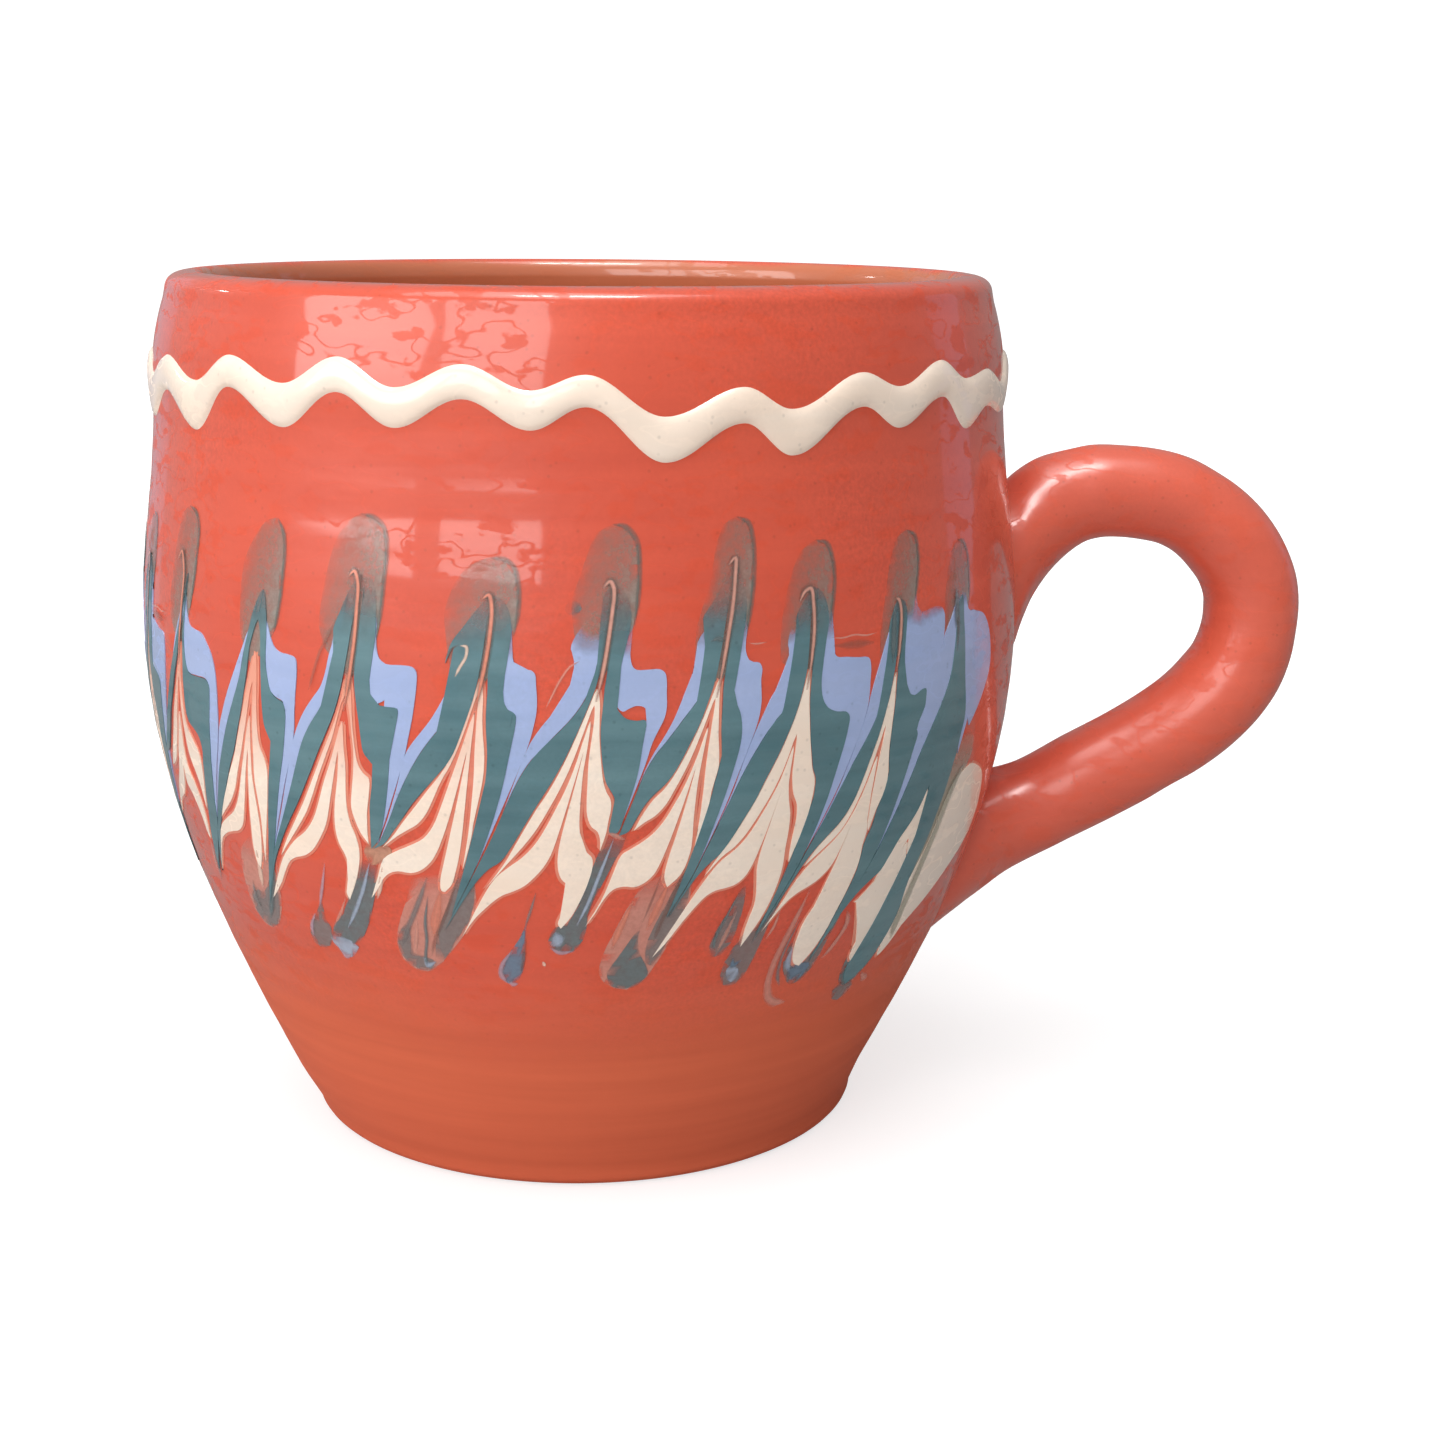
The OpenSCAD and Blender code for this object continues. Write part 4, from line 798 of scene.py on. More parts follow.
spires["H"] = {
    "blue": ([
        (27.9, 38.5), (28.6, 42), (29.4, 46.4), (30, 50), (30.2, 53), (30.4, 55), (30.75, 57), (31.1, 58.7),
        (31.5, 60.2), (32, 62), (33.1, 64), (34.4, 64.6), (35.2, 63.4), (35.55, 62.1), (36.3, 61.8), (37.5, 61.9),
        (38.6, 62), (39.5, 61.8), (40.1, 61), (40.2, 58), (40, 53), (39.2, 46), (38.7, 41), (38.1, 37)],
       [
        (27.9, 38.5), (28.4, 41), (28.9, 43.3), (29.4, 45.6), (29.95, 47.6), (30.6, 49.4), (31.3, 51.2),
        (31.85, 53.2), (32.1, 55.2), (32.1, 57), (31.9, 58.8), (32.1, 61), (33.1, 63.2), (33.9, 62.6), (33.9, 60.4),
        (34, 58.4), (34.4, 56.6), (35.05, 55), (35.8, 54), (36.6, 53.7), (37.6, 54.1), (38.25, 54.1), (38.5, 53.2),
        (38.6, 52.2), (37.95, 51), (37.95, 50.3), (38.45, 49.6), (38.4, 48), (38.3, 46), (38.3, 43), (38.35, 40),
        (38.1, 37)]),
    "teal": ([
        (26.9, 31.5), (27.95, 38.5), (28.45, 41), (28.95, 43.3), (29.45, 45.6), (30, 47.6), (30.65, 49.4),
        (31.35, 51.2), (31.9, 53.2), (32.12, 55.2), (32.12, 57), (31.85, 58.8), (31.55, 60.4), (31.8, 62),
        (32.5, 63.3), (33.3, 63.2), (33.85, 62), (33.93, 60.4), (34.03, 58.4), (34.43, 56.6), (35.08, 55), (35.8, 54),
        (36.6, 53.7), (37.6, 54.1), (38.25, 54.1), (38.5, 53.2), (38.6, 52.2), (37.97, 51), (37.97, 50.3),
        (38.45, 49.6), (38.42, 48), (38.32, 46), (38.32, 43), (38.35, 40), (38.1, 36.6), (36.6, 26.5)],
       [
        (26.9, 31.5), (28.4, 38.1), (29.2, 39.7), (30.1, 40.9), (31, 42.1), (31.7, 43.8), (32, 46), (32.3, 48.6),
        (32.6, 51.1), (32.8, 53.6), (32.95, 56), (32.9, 58.5), (32.7, 61), (32.8, 62.8), (33.3, 61), (33.4, 58.6),
        (33.5, 56.8), (33.7, 54.8), (34, 52.8), (34.25, 50.9), (34.6, 49.1), (35.15, 47.4), (35.75, 45.8),
        (35.95, 44.2), (35.7, 42.6), (36, 40.7), (35.8, 39), (36.4, 37.1), (36.65, 34.5), (36.65, 32), (36.6, 29.3),
        (36.6, 26.5)]),
    "high": ([
        (28.6, 37.9), (29.3, 39.6), (30.2, 40.8), (31.1, 42), (31.8, 43.8), (32.1, 46), (32.4, 48.6), (32.7, 51.2),
        (32.9, 53.8), (33.25, 56.4), (33.55, 54.6), (33.85, 52.8), (34.15, 50.9), (34.5, 49.1), (35.05, 47.4),
        (35.6, 45.8), (35.8, 44.2), (35.55, 42.6), (35.6, 40.4)],
       [
        (28.6, 37.9), (29.6, 38.9), (30.6, 39.9), (31.5, 41), (32.1, 42.6), (32.5, 44.8), (32.8, 47.6), (33.2, 51.4),
        (33.5, 48.6), (33.8, 46.2), (34.2, 44.2), (34.7, 42.4), (35.2, 41), (35.6, 40.4)]),
    "low": ([
        (27.2, 31.2), (27.9, 34), (28.5, 36.6), (29.4, 38.2), (30.5, 39.4), (31.5, 40.6), (32.2, 42.2), (32.7, 44.4),
        (33.2, 48.2), (33.6, 46), (34.1, 43.8), (34.7, 41.9), (35.4, 40.4), (35.6, 39), (36.2, 37.1), (36.45, 34.5),
        (36.45, 32), (36.4, 29.4), (36.1, 27.6), (35.4, 26.2)],
       [
        (27.2, 31.2), (27.9, 33), (28.6, 34.3), (29.4, 35), (30.2, 35.4), (31.1, 35.9), (31.8, 36.6), (32.3, 37.5),
        (32.6, 39.5), (32.7, 43), (32.8, 39), (33, 36.6), (33.2, 35), (33.1, 34), (32.7, 33), (32.4, 31.5),
        (32.6, 30), (33, 28.7), (33.6, 27.5), (34.4, 26.6), (35.4, 26.2)]),
}
spires["I"] = {
    "blue": ([
        (38.2, 37), (38.8, 42), (39.3, 47), (40, 53), (40.3, 58.6), (40.8, 59.6), (41.6, 60.8), (42.6, 62.6),
        (43.6, 63.4), (44.3, 62), (44.8, 61), (45.6, 60.6), (46.8, 60.4), (47.4, 59.4), (47.8, 56), (48, 50),
        (47.6, 46)],
       [
        (38.2, 37), (38.8, 41), (39.2, 44), (39.7, 47), (40.5, 49.6), (41.4, 51.8), (42.1, 53.7), (42.5, 55.6),
        (42.5, 58), (42.5, 60), (42.9, 61.6), (43.5, 62.6), (43.7, 60.6), (43.9, 58.8), (44.2, 57), (44.7, 55),
        (45.5, 53), (46.3, 50.6), (47, 48), (47.6, 46)]),
    "teal": ([
        (37.2, 31), (38.25, 37), (38.85, 41), (39.25, 44), (39.75, 47), (40.55, 49.6), (41.45, 51.8), (42.15, 53.7),
        (42.52, 55.6), (42.52, 58), (42.5, 60), (42.8, 61.8), (43.4, 62.5), (43.8, 60.6), (44.2, 58.4), (44.8, 56),
        (45.6, 53.6), (46.6, 51.3), (47.1, 49.5), (46.8, 46.5), (46.2, 43.5), (46.1, 40), (46.7, 36), (47.8, 32),
        (49, 29), (49.2, 26), (48.2, 23.4), (46.4, 22)],
       [
        (37.2, 31), (38.4, 33.4), (39.6, 34.6), (40.6, 35.4), (41, 37), (41.5, 38.6), (42.2, 39.7), (42.9, 41.2),
        (43.4, 43.6), (43.8, 41.4), (44.4, 38.4), (45.1, 34.6), (45.5, 31), (45.5, 28), (45, 26), (44.4, 25),
        (45, 23.2), (46.4, 22)]),
    "high": ([
        (40.4, 34.4), (40.9, 36.8), (41.5, 38.4), (42.2, 39.5), (42.9, 41), (43.4, 43.2), (43.75, 41.6), (44.3, 39.6),
        (44.9, 37.6), (45.2, 35.4)],
       [
        (40.4, 34.4), (41.1, 35.2), (41.9, 36), (42.7, 37), (43.3, 38.2), (43.8, 37.2), (44.5, 36.2), (45.2, 35.4)]),
    "low": ([
        (38.8, 32.4), (40, 33.4), (40.8, 34.8), (41.6, 35.7), (42.5, 36.6), (43.3, 37.8), (43.9, 36.8), (44.6, 35.8),
        (45.2, 34.8), (45.4, 32), (45.3, 29), (45, 26.4), (44.4, 25)],
       [
        (38.8, 32.4), (39.8, 32.2), (40.6, 31.5), (41.5, 30.6), (42.5, 29.7), (43.1, 28.4), (43.3, 26.8),
        (43.7, 25.6), (44.4, 25)]),
}
spires["J"] = {
    "blue": ([
        (45, 57.5), (45.4, 60.6), (47, 60.4), (48.6, 59.9), (50, 58.6), (51.2, 56.5), (51.7, 54.3), (51, 52),
        (49.8, 50), (48.8, 48.6)],
       [
        (45, 57.5), (45.8, 54), (46.8, 51.8), (47.7, 50), (48.8, 48.6)]),
    "low": ([
        (47.6, 33), (48, 36), (48.2, 39), (48.6, 41.5), (49.8, 43.2), (52, 44), (54.5, 43.4), (57.2, 42.2),
        (59.4, 40.2), (61, 37.6), (61.6, 35)],
       [
        (47.6, 33), (48.3, 29), (49.2, 26), (50.2, 24.3), (51.4, 25.5), (52.4, 28), (53.4, 30), (55, 31.4),
        (57.6, 32.2), (60, 33.4), (61.6, 35)]),
}
print(len(spires), "spires read from the photograph")

# %% [markdown]
# A stripe becomes a flat sheet: its two edges are smoothed and closed into outlines that turn one way,
# filled, and cut every millimetre and a half, so that it can follow the wall. Where an outline as read
# crosses itself, the face that folds over is dropped. Then each vertex is moved onto the wall, and the rim
# of the sheet is pulled down into it, which leaves a thin film with an edge that takes light.

# %% Helpers that lay a flat stripe on the wall
upright_z, facet, skirt_depth = 61, 1.5, 0.15


def lean(z):
    """Sideways lean of the strokes at a height, in millimetres."""
    d = upright_z - z
    return -0.16 * d - 0.0037 * d * abs(d)


def flat_sheet(outlines, margin=0):
    """Fill outlines, lists of (x, z), as one flat bmesh cut into short facets, with an inner line if asked."""
    sheet = bmesh.new()
    for points in outlines:
        turned = sum(a[0] * b[1] - b[0] * a[1] for a, b in zip(points, points[1:] + points[:1]))
        ring = [sheet.verts.new((x, 0, z)) for x, z in (points if turned > 0 else points[::-1])]
        face = sheet.faces.new(ring)
        if margin:
            bmesh.ops.inset_region(sheet, faces=[face], thickness=margin, use_even_offset=True)
        bmesh.ops.triangulate(sheet, faces=[f for f in sheet.faces if len(f.verts) > 3], ngon_method="EAR_CLIP")
    sheet.normal_update()
    folded = [face for face in sheet.faces if face.normal.y > -0.5]
    bmesh.ops.delete(sheet, geom=folded, context="FACES")
    xs = [vert.co.x for vert in sheet.verts]
    zs = [vert.co.z for vert in sheet.verts]
    for low, high, pitch, across in ((min(xs), max(xs), facet, 0), (min(zs), max(zs), facet, 2)):
        cut = low + pitch
        while cut < high:
            spot = Vector((0, 0, 0))
            spot[across] = cut
            way = Vector((0, 0, 0))
            way[across] = 1
            bmesh.ops.bisect_plane(sheet, geom=sheet.verts[:] + sheet.edges[:] + sheet.faces[:], dist=1e-5,
                                   plane_co=spot, plane_no=way)
            cut += pitch
    bmesh.ops.dissolve_degenerate(sheet, dist=0.003, edges=sheet.edges)
    bmesh.ops.triangulate(sheet, faces=[f for f in sheet.faces if len(f.verts) > 4])
    return sheet


def lay_on_wall(sheet, lift):
    """Move a flat sheet onto the wall and pull its rim down into the clay; note where cream blushes."""
    blush = sheet.verts.layers.float.new("blush")
    for vert in sheet.verts:
        x, z = vert.co.x, vert.co.z
        side = min(1, max(0, (-6 - x) / 6)) if x > -53 else 0.5 + 0.5 * math.sin(x * 0.31)
        vert[blush] = 0.95 * side * min(1, max(0, (z - 46) / 9))
        vert.co = on_wall((x + lean(z)) / belly_r - math.pi / 2, z, lift)
    rim = [edge for edge in sheet.edges if edge.is_boundary]
    flat = set(sheet.faces)
    grown = bmesh.ops.extrude_edge_only(sheet, edges=rim)
    for edge in rim:
        for skirt in [face for face in edge.link_faces if face not in flat and not edge.is_contiguous]:
            skirt.normal_flip()
    for vert in (item for item in grown["geom"] if isinstance(item, bmesh.types.BMVert)):
        out = Vector((vert.co.x, vert.co.y, 0)).normalized()
        vert.co -= out * (lift + skirt_depth) * mm
    for edge in rim:
        edge.smooth = False
    return sheet


def smooth_edge(knots, steps=3):
    """A stripe's edge as (x, z) pairs."""
    return [(p.x, p.y) for p in curve_through([(x, z, 0) for x, z in knots], steps)]


def stripe_outlines(upper, lower, steps=3):
    """Close an upper and a lower edge into two rings, left and right of the spire's tip."""
    high_edge, low_edge = smooth_edge(upper, steps), smooth_edge(lower, steps)
    split = [max(range(1, len(edge) - 1), key=lambda n, e=edge: e[n][1]) for edge in (high_edge, low_edge)]
    halves = [high_edge[:split[0] + 1] + low_edge[split[1]:0:-1],
              high_edge[split[0]:] + low_edge[-2:split[1] - 1:-1]]
    rings = []
    for half in halves:
        kept = [half[0]]
        for point in half[1:]:
            if math.dist(point, kept[-1]) > 0.02:
                kept.append(point)
        rings.append(kept)
    return rings


def swell(ring, amount):
    """Push a closed outline outwards by a small amount."""
    area = sum(a[0] * b[1] - b[0] * a[1] for a, b in zip(ring, ring[1:] + ring[:1]))
    turn_sign = -1 if area < 0 else 1
    grown = []
    for here in range(len(ring)):
        before, there = ring[here - 1], ring[(here + 1) % len(ring)]
        dx, dz = there[0] - before[0], there[1] - before[1]
        size = math.hypot(dx, dz) or 1
        grown.append((ring[here][0] + turn_sign * dz / size * amount,
                      ring[here][1] - turn_sign * dx / size * amount))
    return grown


# %% [markdown]
# The camera sees nine spires. The comb went right round the mug, so the hidden side repeats six of them in
# fourteen places, at an even pitch and in a mixed order, each a little stretched and raised or lowered, so
# that no two neighbours look alike. By the handle, the side in view leaves about 20 mm bare from the
# handle's middle line. Behind, where the lowest tips lean towards it, only about 5 mm is left.

# %% Repeat the spires behind
order = ["G", "C", "E", "B", "F", "D", "G", "E", "C", "F", "B", "D", "E", "G"]
joins = {"A": (-53.0, -39.6), "B": (-39.6, -29.3), "C": (-29.3, -16.3), "D": (-16.3, -5.6), "E": (-5.6, 7.0),
         "F": (7.0, 16.2), "G": (16.2, 27.9), "H": (27.9, 38.2), "I": (38.2, 47.6)}
round_length = 2 * math.pi * belly_r
handle_x, bare_by_handle = 75, 14.5
back_end = handle_x + bare_by_handle - round_length
back_pitch = (joins["A"][0] - back_end) / len(order)
stripes = {"blue": [], "teal": [], "high": [], "low": []}
for spire in spires.values():
    for stripe, (upper, lower) in spire.items():
        stripes[stripe] += stripe_outlines(upper, lower)
repeats = []
for n, name in enumerate(order):
    low, high = joins[name]
    start, stretch, rise = joins["A"][0] - back_pitch * (n + 1), back_pitch / (high - low), chance.uniform(-1.0, 1.0)
    repeats.append((name, start, low, stretch, rise))
    for stripe, (upper, lower) in spires[name].items():
        moved = [[(start + (x - low) * stretch, z + rise) for x, z in edge] for edge in (upper, lower)]
        stripes[stripe] += stripe_outlines(moved[0], moved[1], 2)
print({stripe: len(rings) for stripe, rings in stripes.items()}, "pitch behind", round(back_pitch, 2))

# %% [markdown]
# Where slip meets wet clay the two bleed into each other, which leaves a thin pink fringe round the
# cream. It is made as a slightly swollen copy of the cream outlines, laid just under them. Towards the
# tips of the strokes the teal and the blue were let down with water, so their cover thins out there.

# %% Lay the stripes
blue, blue_tree, blue_shader = glazed("blue_slip", (0.35, 0.44, 0.70), (0.43, 0.51, 0.76), cloud=0.8)[:3]
teal, teal_tree, teal_shader = glazed("teal_slip", (0.075, 0.165, 0.19), (0.15, 0.275, 0.30), cloud=0.9)[:3]
fringe = glazed("pink_fringe", (0.78, 0.22, 0.14), (0.82, 0.33, 0.22), cloud=0.8)[0]
noise_rise = 0.005


def thin_out(tree, shader, low, high, least):
    """Let a slip's cover fall from full at one height to the least at another, in millimetres."""
    place = add(tree, "ShaderNodeTexCoord", (-8, 4)).outputs["Object"]
    parts = add(tree, "ShaderNodeSeparateXYZ", (-7, 4), Vector=place)
    rough_edge = add(tree, "ShaderNodeTexNoise", (-7, 5), Vector=place, Scale=330, Detail=5)
    height = add(tree, "ShaderNodeMath", (-6, 4), operation="MULTIPLY_ADD", i0=rough_edge, i1=noise_rise,
                 i2=parts.outputs[2])
    cover = add(tree, "ShaderNodeMapRange", (-5, 4), Value=height, From_Min=(low + 2.5) * mm,
                From_Max=(high + 2.5) * mm, To_Min=1, To_Max=least)
    feed(tree, shader, Alpha=cover)


thin_out(teal_tree, teal_shader, 60.5, 66.0, 0.08)
thin_out(blue_tree, blue_shader, 60.5, 63.0, 0)
layers = [("comb_fringe", [swell(r, 0.28) for r in stripes["high"] + stripes["low"]], 0.05, fringe, None),
          ("comb_blue", stripes["blue"], 0.10, blue, "slip_blue"),
          ("comb_cream", stripes["high"] + stripes["low"], 0.12, cream, "slip_cream"),
          ("comb_teal", stripes["teal"], 0.15, teal, "slip_teal")]
for name, outlines, lift, material, node in layers:
    piece = finish_piece(name, lay_on_wall(flat_sheet(outlines), lift), [material])
    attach(piece, "root")
    if node:
        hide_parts(node)

# %% [markdown]
# Each upward stroke of the comb ends in a thin tongue, where the wet slips are let down with so much
# water that the red clay shows through. The comb's last touch leaves a hair of cream, the needle, that
# runs up the middle and hooks over at the tip, with a dark line of teal beside it. The tongues are
# see-through and close in a denser line along their right edge, where the watery slip dried last.

# %% Tongues and needles, spire by spire
tongues = {
    "A": [(-50.2, 60), (-50.4, 65), (-50, 70), (-48.6, 71), (-47, 70.6), (-45.9, 69.3), (-45.4, 67), (-45.2, 64),
          (-45.3, 61), (-47, 57)],
    "B": [(-36.2, 60), (-37, 64), (-37.2, 67), (-36.3, 69.5), (-35.2, 71), (-33.8, 71.3), (-32.6, 70), (-31.9, 68),
          (-31.5, 65), (-31.4, 62), (-31.6, 60.5), (-34, 57)],
    "C": [(-25.4, 60), (-26.3, 62), (-26.5, 66), (-26.3, 69.5), (-25.5, 71.5), (-24.2, 72.4), (-22.8, 72.2),
          (-21.4, 71.3), (-20.6, 69.5), (-20.2, 67), (-19.9, 64), (-19.8, 61), (-22, 57)],
    "D": [(-12.2, 59), (-13, 61.5), (-13.6, 64), (-13.2, 66.5), (-12.2, 68.2), (-10.5, 69), (-9, 68.9), (-7.9, 68.2),
          (-7.1, 66.5), (-6.7, 64.5), (-6.7, 62), (-9, 57)],
    "E": [(-0.6, 60.5), (-1.6, 63.5), (-2.0, 65.5), (-1.6, 67.5), (-1.4, 69.5), (-0.9, 71.3), (0.4, 72.1),
          (1.6, 71.9), (3.0, 70.6), (3.7, 68.4), (4.1, 65.8), (4.2, 63), (1.8, 58)],
    "F": [(10.4, 59.5), (10.1, 62.5), (10.5, 65), (10.8, 67.5), (10.7, 70), (11.1, 71.8), (12.3, 72.5), (13.6, 71.9),
          (14.5, 70), (15, 67.5), (15.2, 64.3), (15.1, 61.5), (13, 57)],
    "G": [(19, 59), (18.6, 62), (18.7, 64.5), (19, 67), (19.7, 69), (21.2, 69.9), (22.6, 69.5), (23.5, 68), (24, 66),
          (24.1, 63.5), (24, 61), (22, 57)],
    "H": [(30.7, 58), (30.4, 61), (30.7, 64), (30.9, 67), (31.6, 69.2), (33, 69.9), (34.4, 69.2), (35.1, 67.3),
          (35.2, 65), (35.1, 63), (34, 58)],
    "I": [(40.4, 59), (40.1, 62), (40.3, 64.5), (40.9, 66.9), (42.1, 68), (43.4, 67.7), (44.4, 66.3), (44.9, 64),
          (45, 61.5), (43.4, 58)]}
needles = {
    "A": [(-49.0, 65.6), (-48.5, 66.5), (-47.8, 65.6), (-47.3, 64), (-47, 60), (-46.9, 55)],
    "C": [(-23.9, 66.6), (-23.4, 67.2), (-22.7, 66), (-22.4, 64), (-22.1, 61.5), (-22, 58.5), (-22.05, 54)],
    "D": [(-10.3, 65.2), (-9.7, 65.7), (-9.2, 64.6), (-8.9, 62), (-8.9, 59.5), (-9.05, 55)],
    "E": [(0.7, 66.4), (1.2, 67), (1.7, 66.4), (1.95, 64), (2.0, 60), (1.85, 56)],
    "F": [(12.2, 68.1), (12.8, 68.8), (13.1, 67), (13.3, 64.5), (13.25, 62), (13.1, 56)],
    "G": [(20.2, 64.3), (20.7, 65.3), (21.3, 65.5), (21.8, 64), (22.2, 61.5), (22.35, 56)],
    "H": [(32.0, 63.6), (32.5, 63.4), (32.9, 62.4), (33.1, 60.6), (33.2, 56)]}
print(len(tongues), "tongues and", len(needles), "needles")

# %% [markdown]
# Where the comb leaves the band again, the slips it carried run out in drips. Each is a small puddle
# with streaks of all four colours drawn into it. Puddles are closed outlines; streaks are soft ribbons
# along a few knots. Every one has a named tint, mixed as the potter's slips would mix.

# %% Tints of the thin slips: colour and cover
tints = {
    "pink": ((0.74, 0.36, 0.28, 1), 0.66), "salmon": ((0.80, 0.27, 0.175, 1), 0.8),
    "sage": ((0.45, 0.43, 0.33, 1), 0.8), "smoke": ((0.25, 0.22, 0.21, 1), 0.74),
    "dark": ((0.155, 0.20, 0.205, 1), 0.82), "sky": ((0.42, 0.49, 0.61, 1), 0.85),
    "lilac": ((0.50, 0.36, 0.43, 1), 0.75), "ink": ((0.16, 0.24, 0.33, 1), 0.85),
    "brown": ((0.27, 0.12, 0.085, 1), 0.45), "pale": ((0.86, 0.60, 0.47, 1), 0.9),
    "halo": ((0.15, 0.13, 0.11, 1), 0.55), "rim": ((0.17, 0.165, 0.14, 1), 0.6),
    "joint": ((0.62, 0.31, 0.20, 1), 0.85)}
print(len(tints), "tints")

# %% [markdown]
# A puddle is a tint and a closed outline on the flattened wall, in millimetres along it from the middle
# of the side in view, and up it. Those of one spire are laid in this order, each a little above the last.

# %% Puddles, spire by spire
puddles = {
    "B": [
        ("pink", [(-35.3, 37), (-35.3, 34), (-34.5, 31), (-33.2, 29.3), (-31.5, 28.4), (-29.7, 28.7), (-28.7, 30.5),
            (-28.5, 33), (-29.5, 36), (-31, 38.6), (-33.5, 38.8)]),
        ("smoke", [(-33.6, 33), (-34.1, 31.2), (-33, 29.3), (-31.3, 28.5), (-29.7, 28.8), (-28.9, 30.5), (-28.9, 33),
            (-29.4, 36), (-30.4, 34.4), (-31.6, 32.6)])],
    "C": [
        ("smoke", [(-22.6, 34), (-23.1, 32), (-24, 30.4), (-23.9, 29), (-23, 28), (-21.6, 28), (-20.6, 28.9),
            (-20.9, 30.6), (-21.7, 31.4), (-22.2, 33)]),
        ("dark", [(-18.1, 39), (-18.8, 35.6), (-19.5, 32.6), (-20.6, 31), (-20.6, 29.6), (-19.3, 29.2), (-18, 29.2),
            (-16.9, 29.6), (-16.2, 31.4), (-15.8, 34), (-15.8, 37), (-15.9, 39)]),
        ("sky", [(-21, 29.2), (-19.8, 28.3), (-18.6, 27.4), (-17.6, 27.7), (-17, 29), (-17.9, 29.5), (-19.5, 29.9),
            (-20.8, 30.1)]),
        ("joint", [(-17.9, 40.6), (-17.4, 39), (-16.2, 38.6), (-15, 39.4), (-14.6, 40.5), (-15.6, 41.2),
            (-17, 41.3)])],
    "D": [
        ("pink", [(-12.0, 38), (-12.2, 35), (-12.6, 32), (-12.3, 30), (-11.3, 28.4), (-9.8, 27.5), (-8.4, 27.2),
            (-7.1, 27.8), (-6.2, 29.5), (-5.2, 31.6), (-4.5, 34), (-5.2, 37.2), (-6.4, 39.2), (-9, 38.5)]),
        ("smoke", [(-7.4, 39), (-7.7, 35), (-8, 31.6), (-7.6, 29.2), (-6.6, 28.9), (-5.8, 31), (-4.9, 33.6),
            (-5.2, 37), (-6, 39)]),
        ("smoke", [(-11.2, 33.4), (-12.2, 32), (-12.3, 30.2), (-11.2, 28.6), (-9.6, 27.6), (-8, 27.4), (-7.2, 28.4),
            (-8.4, 29), (-10.2, 29.4), (-10.8, 31)])],
    "E": [
        ("ink", [(1, 34.5), (0.8, 31.8), (0.2, 30), (-0.2, 28.4), (0.4, 27.2), (1.4, 26.6), (2.3, 27.2), (2.3, 29),
            (1.7, 31), (1.2, 33)]),
        ("dark", [(5.9, 43), (5.7, 40), (5.5, 36), (5.2, 33.7), (4.2, 33.4), (3.8, 32.2), (4.2, 31), (5.4, 30.4),
            (6.6, 30.3), (7.4, 31.2), (7.4, 32.8), (7, 34.6), (7.1, 37), (7.6, 40), (8, 43)]),
        ("dark", [(-2.4, 64.9), (-1.9, 65.3), (-1.2, 65.1), (-0.9, 64.5), (-1.3, 64), (-2, 64), (-2.4, 64.4)])],
    "F": [
        ("pink", [(11.2, 37.4), (10.6, 35), (10.3, 32), (10.2, 30), (10.6, 28), (11.8, 26.8), (13.3, 26.1),
            (14.8, 25.9), (16, 26.7), (16.5, 28.6), (16.8, 31), (17.2, 33.6), (16.6, 37), (15.6, 39.4), (13, 38.8)]),
        ("smoke", [(14.9, 39), (14.5, 35), (14.3, 31.5), (15.2, 29), (16.2, 28.6), (16.6, 31.5), (16.9, 34),
            (16.4, 37), (15.6, 39)]),
        ("dark", [(12.9, 33.4), (12.4, 31.6), (11.9, 29.6), (11.5, 28), (12.4, 26.6), (14, 26.0), (15.6, 26.4),
            (16.2, 27.6), (15.4, 28.8), (14.2, 30), (13.3, 31.6)])],
    "G": [
        ("smoke", [(22.2, 37), (21.8, 33.6), (21.5, 31), (22.1, 29.4), (23.1, 28.9), (24, 29.6), (24, 31.6),
            (23.5, 34), (22.7, 36.4)]),
        ("smoke", [(24.8, 31), (24.6, 29), (24.7, 27.3), (25.5, 25.9), (26.6, 25.2), (27.8, 25.5), (28.2, 27),
            (28, 29.4), (27.7, 32), (27.6, 36), (26.9, 36), (26.6, 33), (26, 31.4)]),
        ("sky", [(25.3, 28), (25.5, 26.7), (26.4, 25.8), (27.5, 25.7), (27.4, 26.7), (26.6, 27.4), (26, 28.4)])],
    "H": [
        ("smoke", [(32.1, 30.6), (32.3, 28), (33.2, 26.2), (34.4, 25), (35.8, 24.0), (37.2, 24.3), (37.9, 26),
            (37.6, 29), (37.5, 33), (36.6, 34), (36.4, 29), (35.6, 26.9), (34.4, 26.8), (33.2, 28.4)]),
        ("ink", [(33.8, 27), (34.2, 25.6), (35.3, 24.6), (36.8, 24.5), (37.4, 25.6), (36.6, 26.5), (35.2, 26.5)])],
    "I": [
        ("dark", [(43.2, 27.6), (43.4, 25), (44.4, 23), (45.6, 22), (47.5, 22), (49, 23.6), (49.7, 26), (49.6, 29),
            (48.8, 31.6), (47.6, 34), (46.2, 34), (45.4, 30), (45, 26.6), (44, 26.4)]),
        ("smoke", [(44.2, 22.6), (45, 21), (46.4, 20.2), (48, 20.2), (48.4, 21.6), (46.6, 22.4)]),
        ("sage", [(46.4, 43), (46.3, 39), (46.9, 35), (47.8, 31), (48.8, 28), (50, 26), (51, 27), (50.4, 30),
            (49.6, 34), (49.4, 38), (49.8, 42), (51.6, 44.6), (51, 47), (48.8, 48), (47, 46)])]}
print(sum(len(group) for group in puddles.values()), "puddles")

# %% [markdown]
# A streak is a tint, half its width and the knots that it runs along, in the same millimetres.

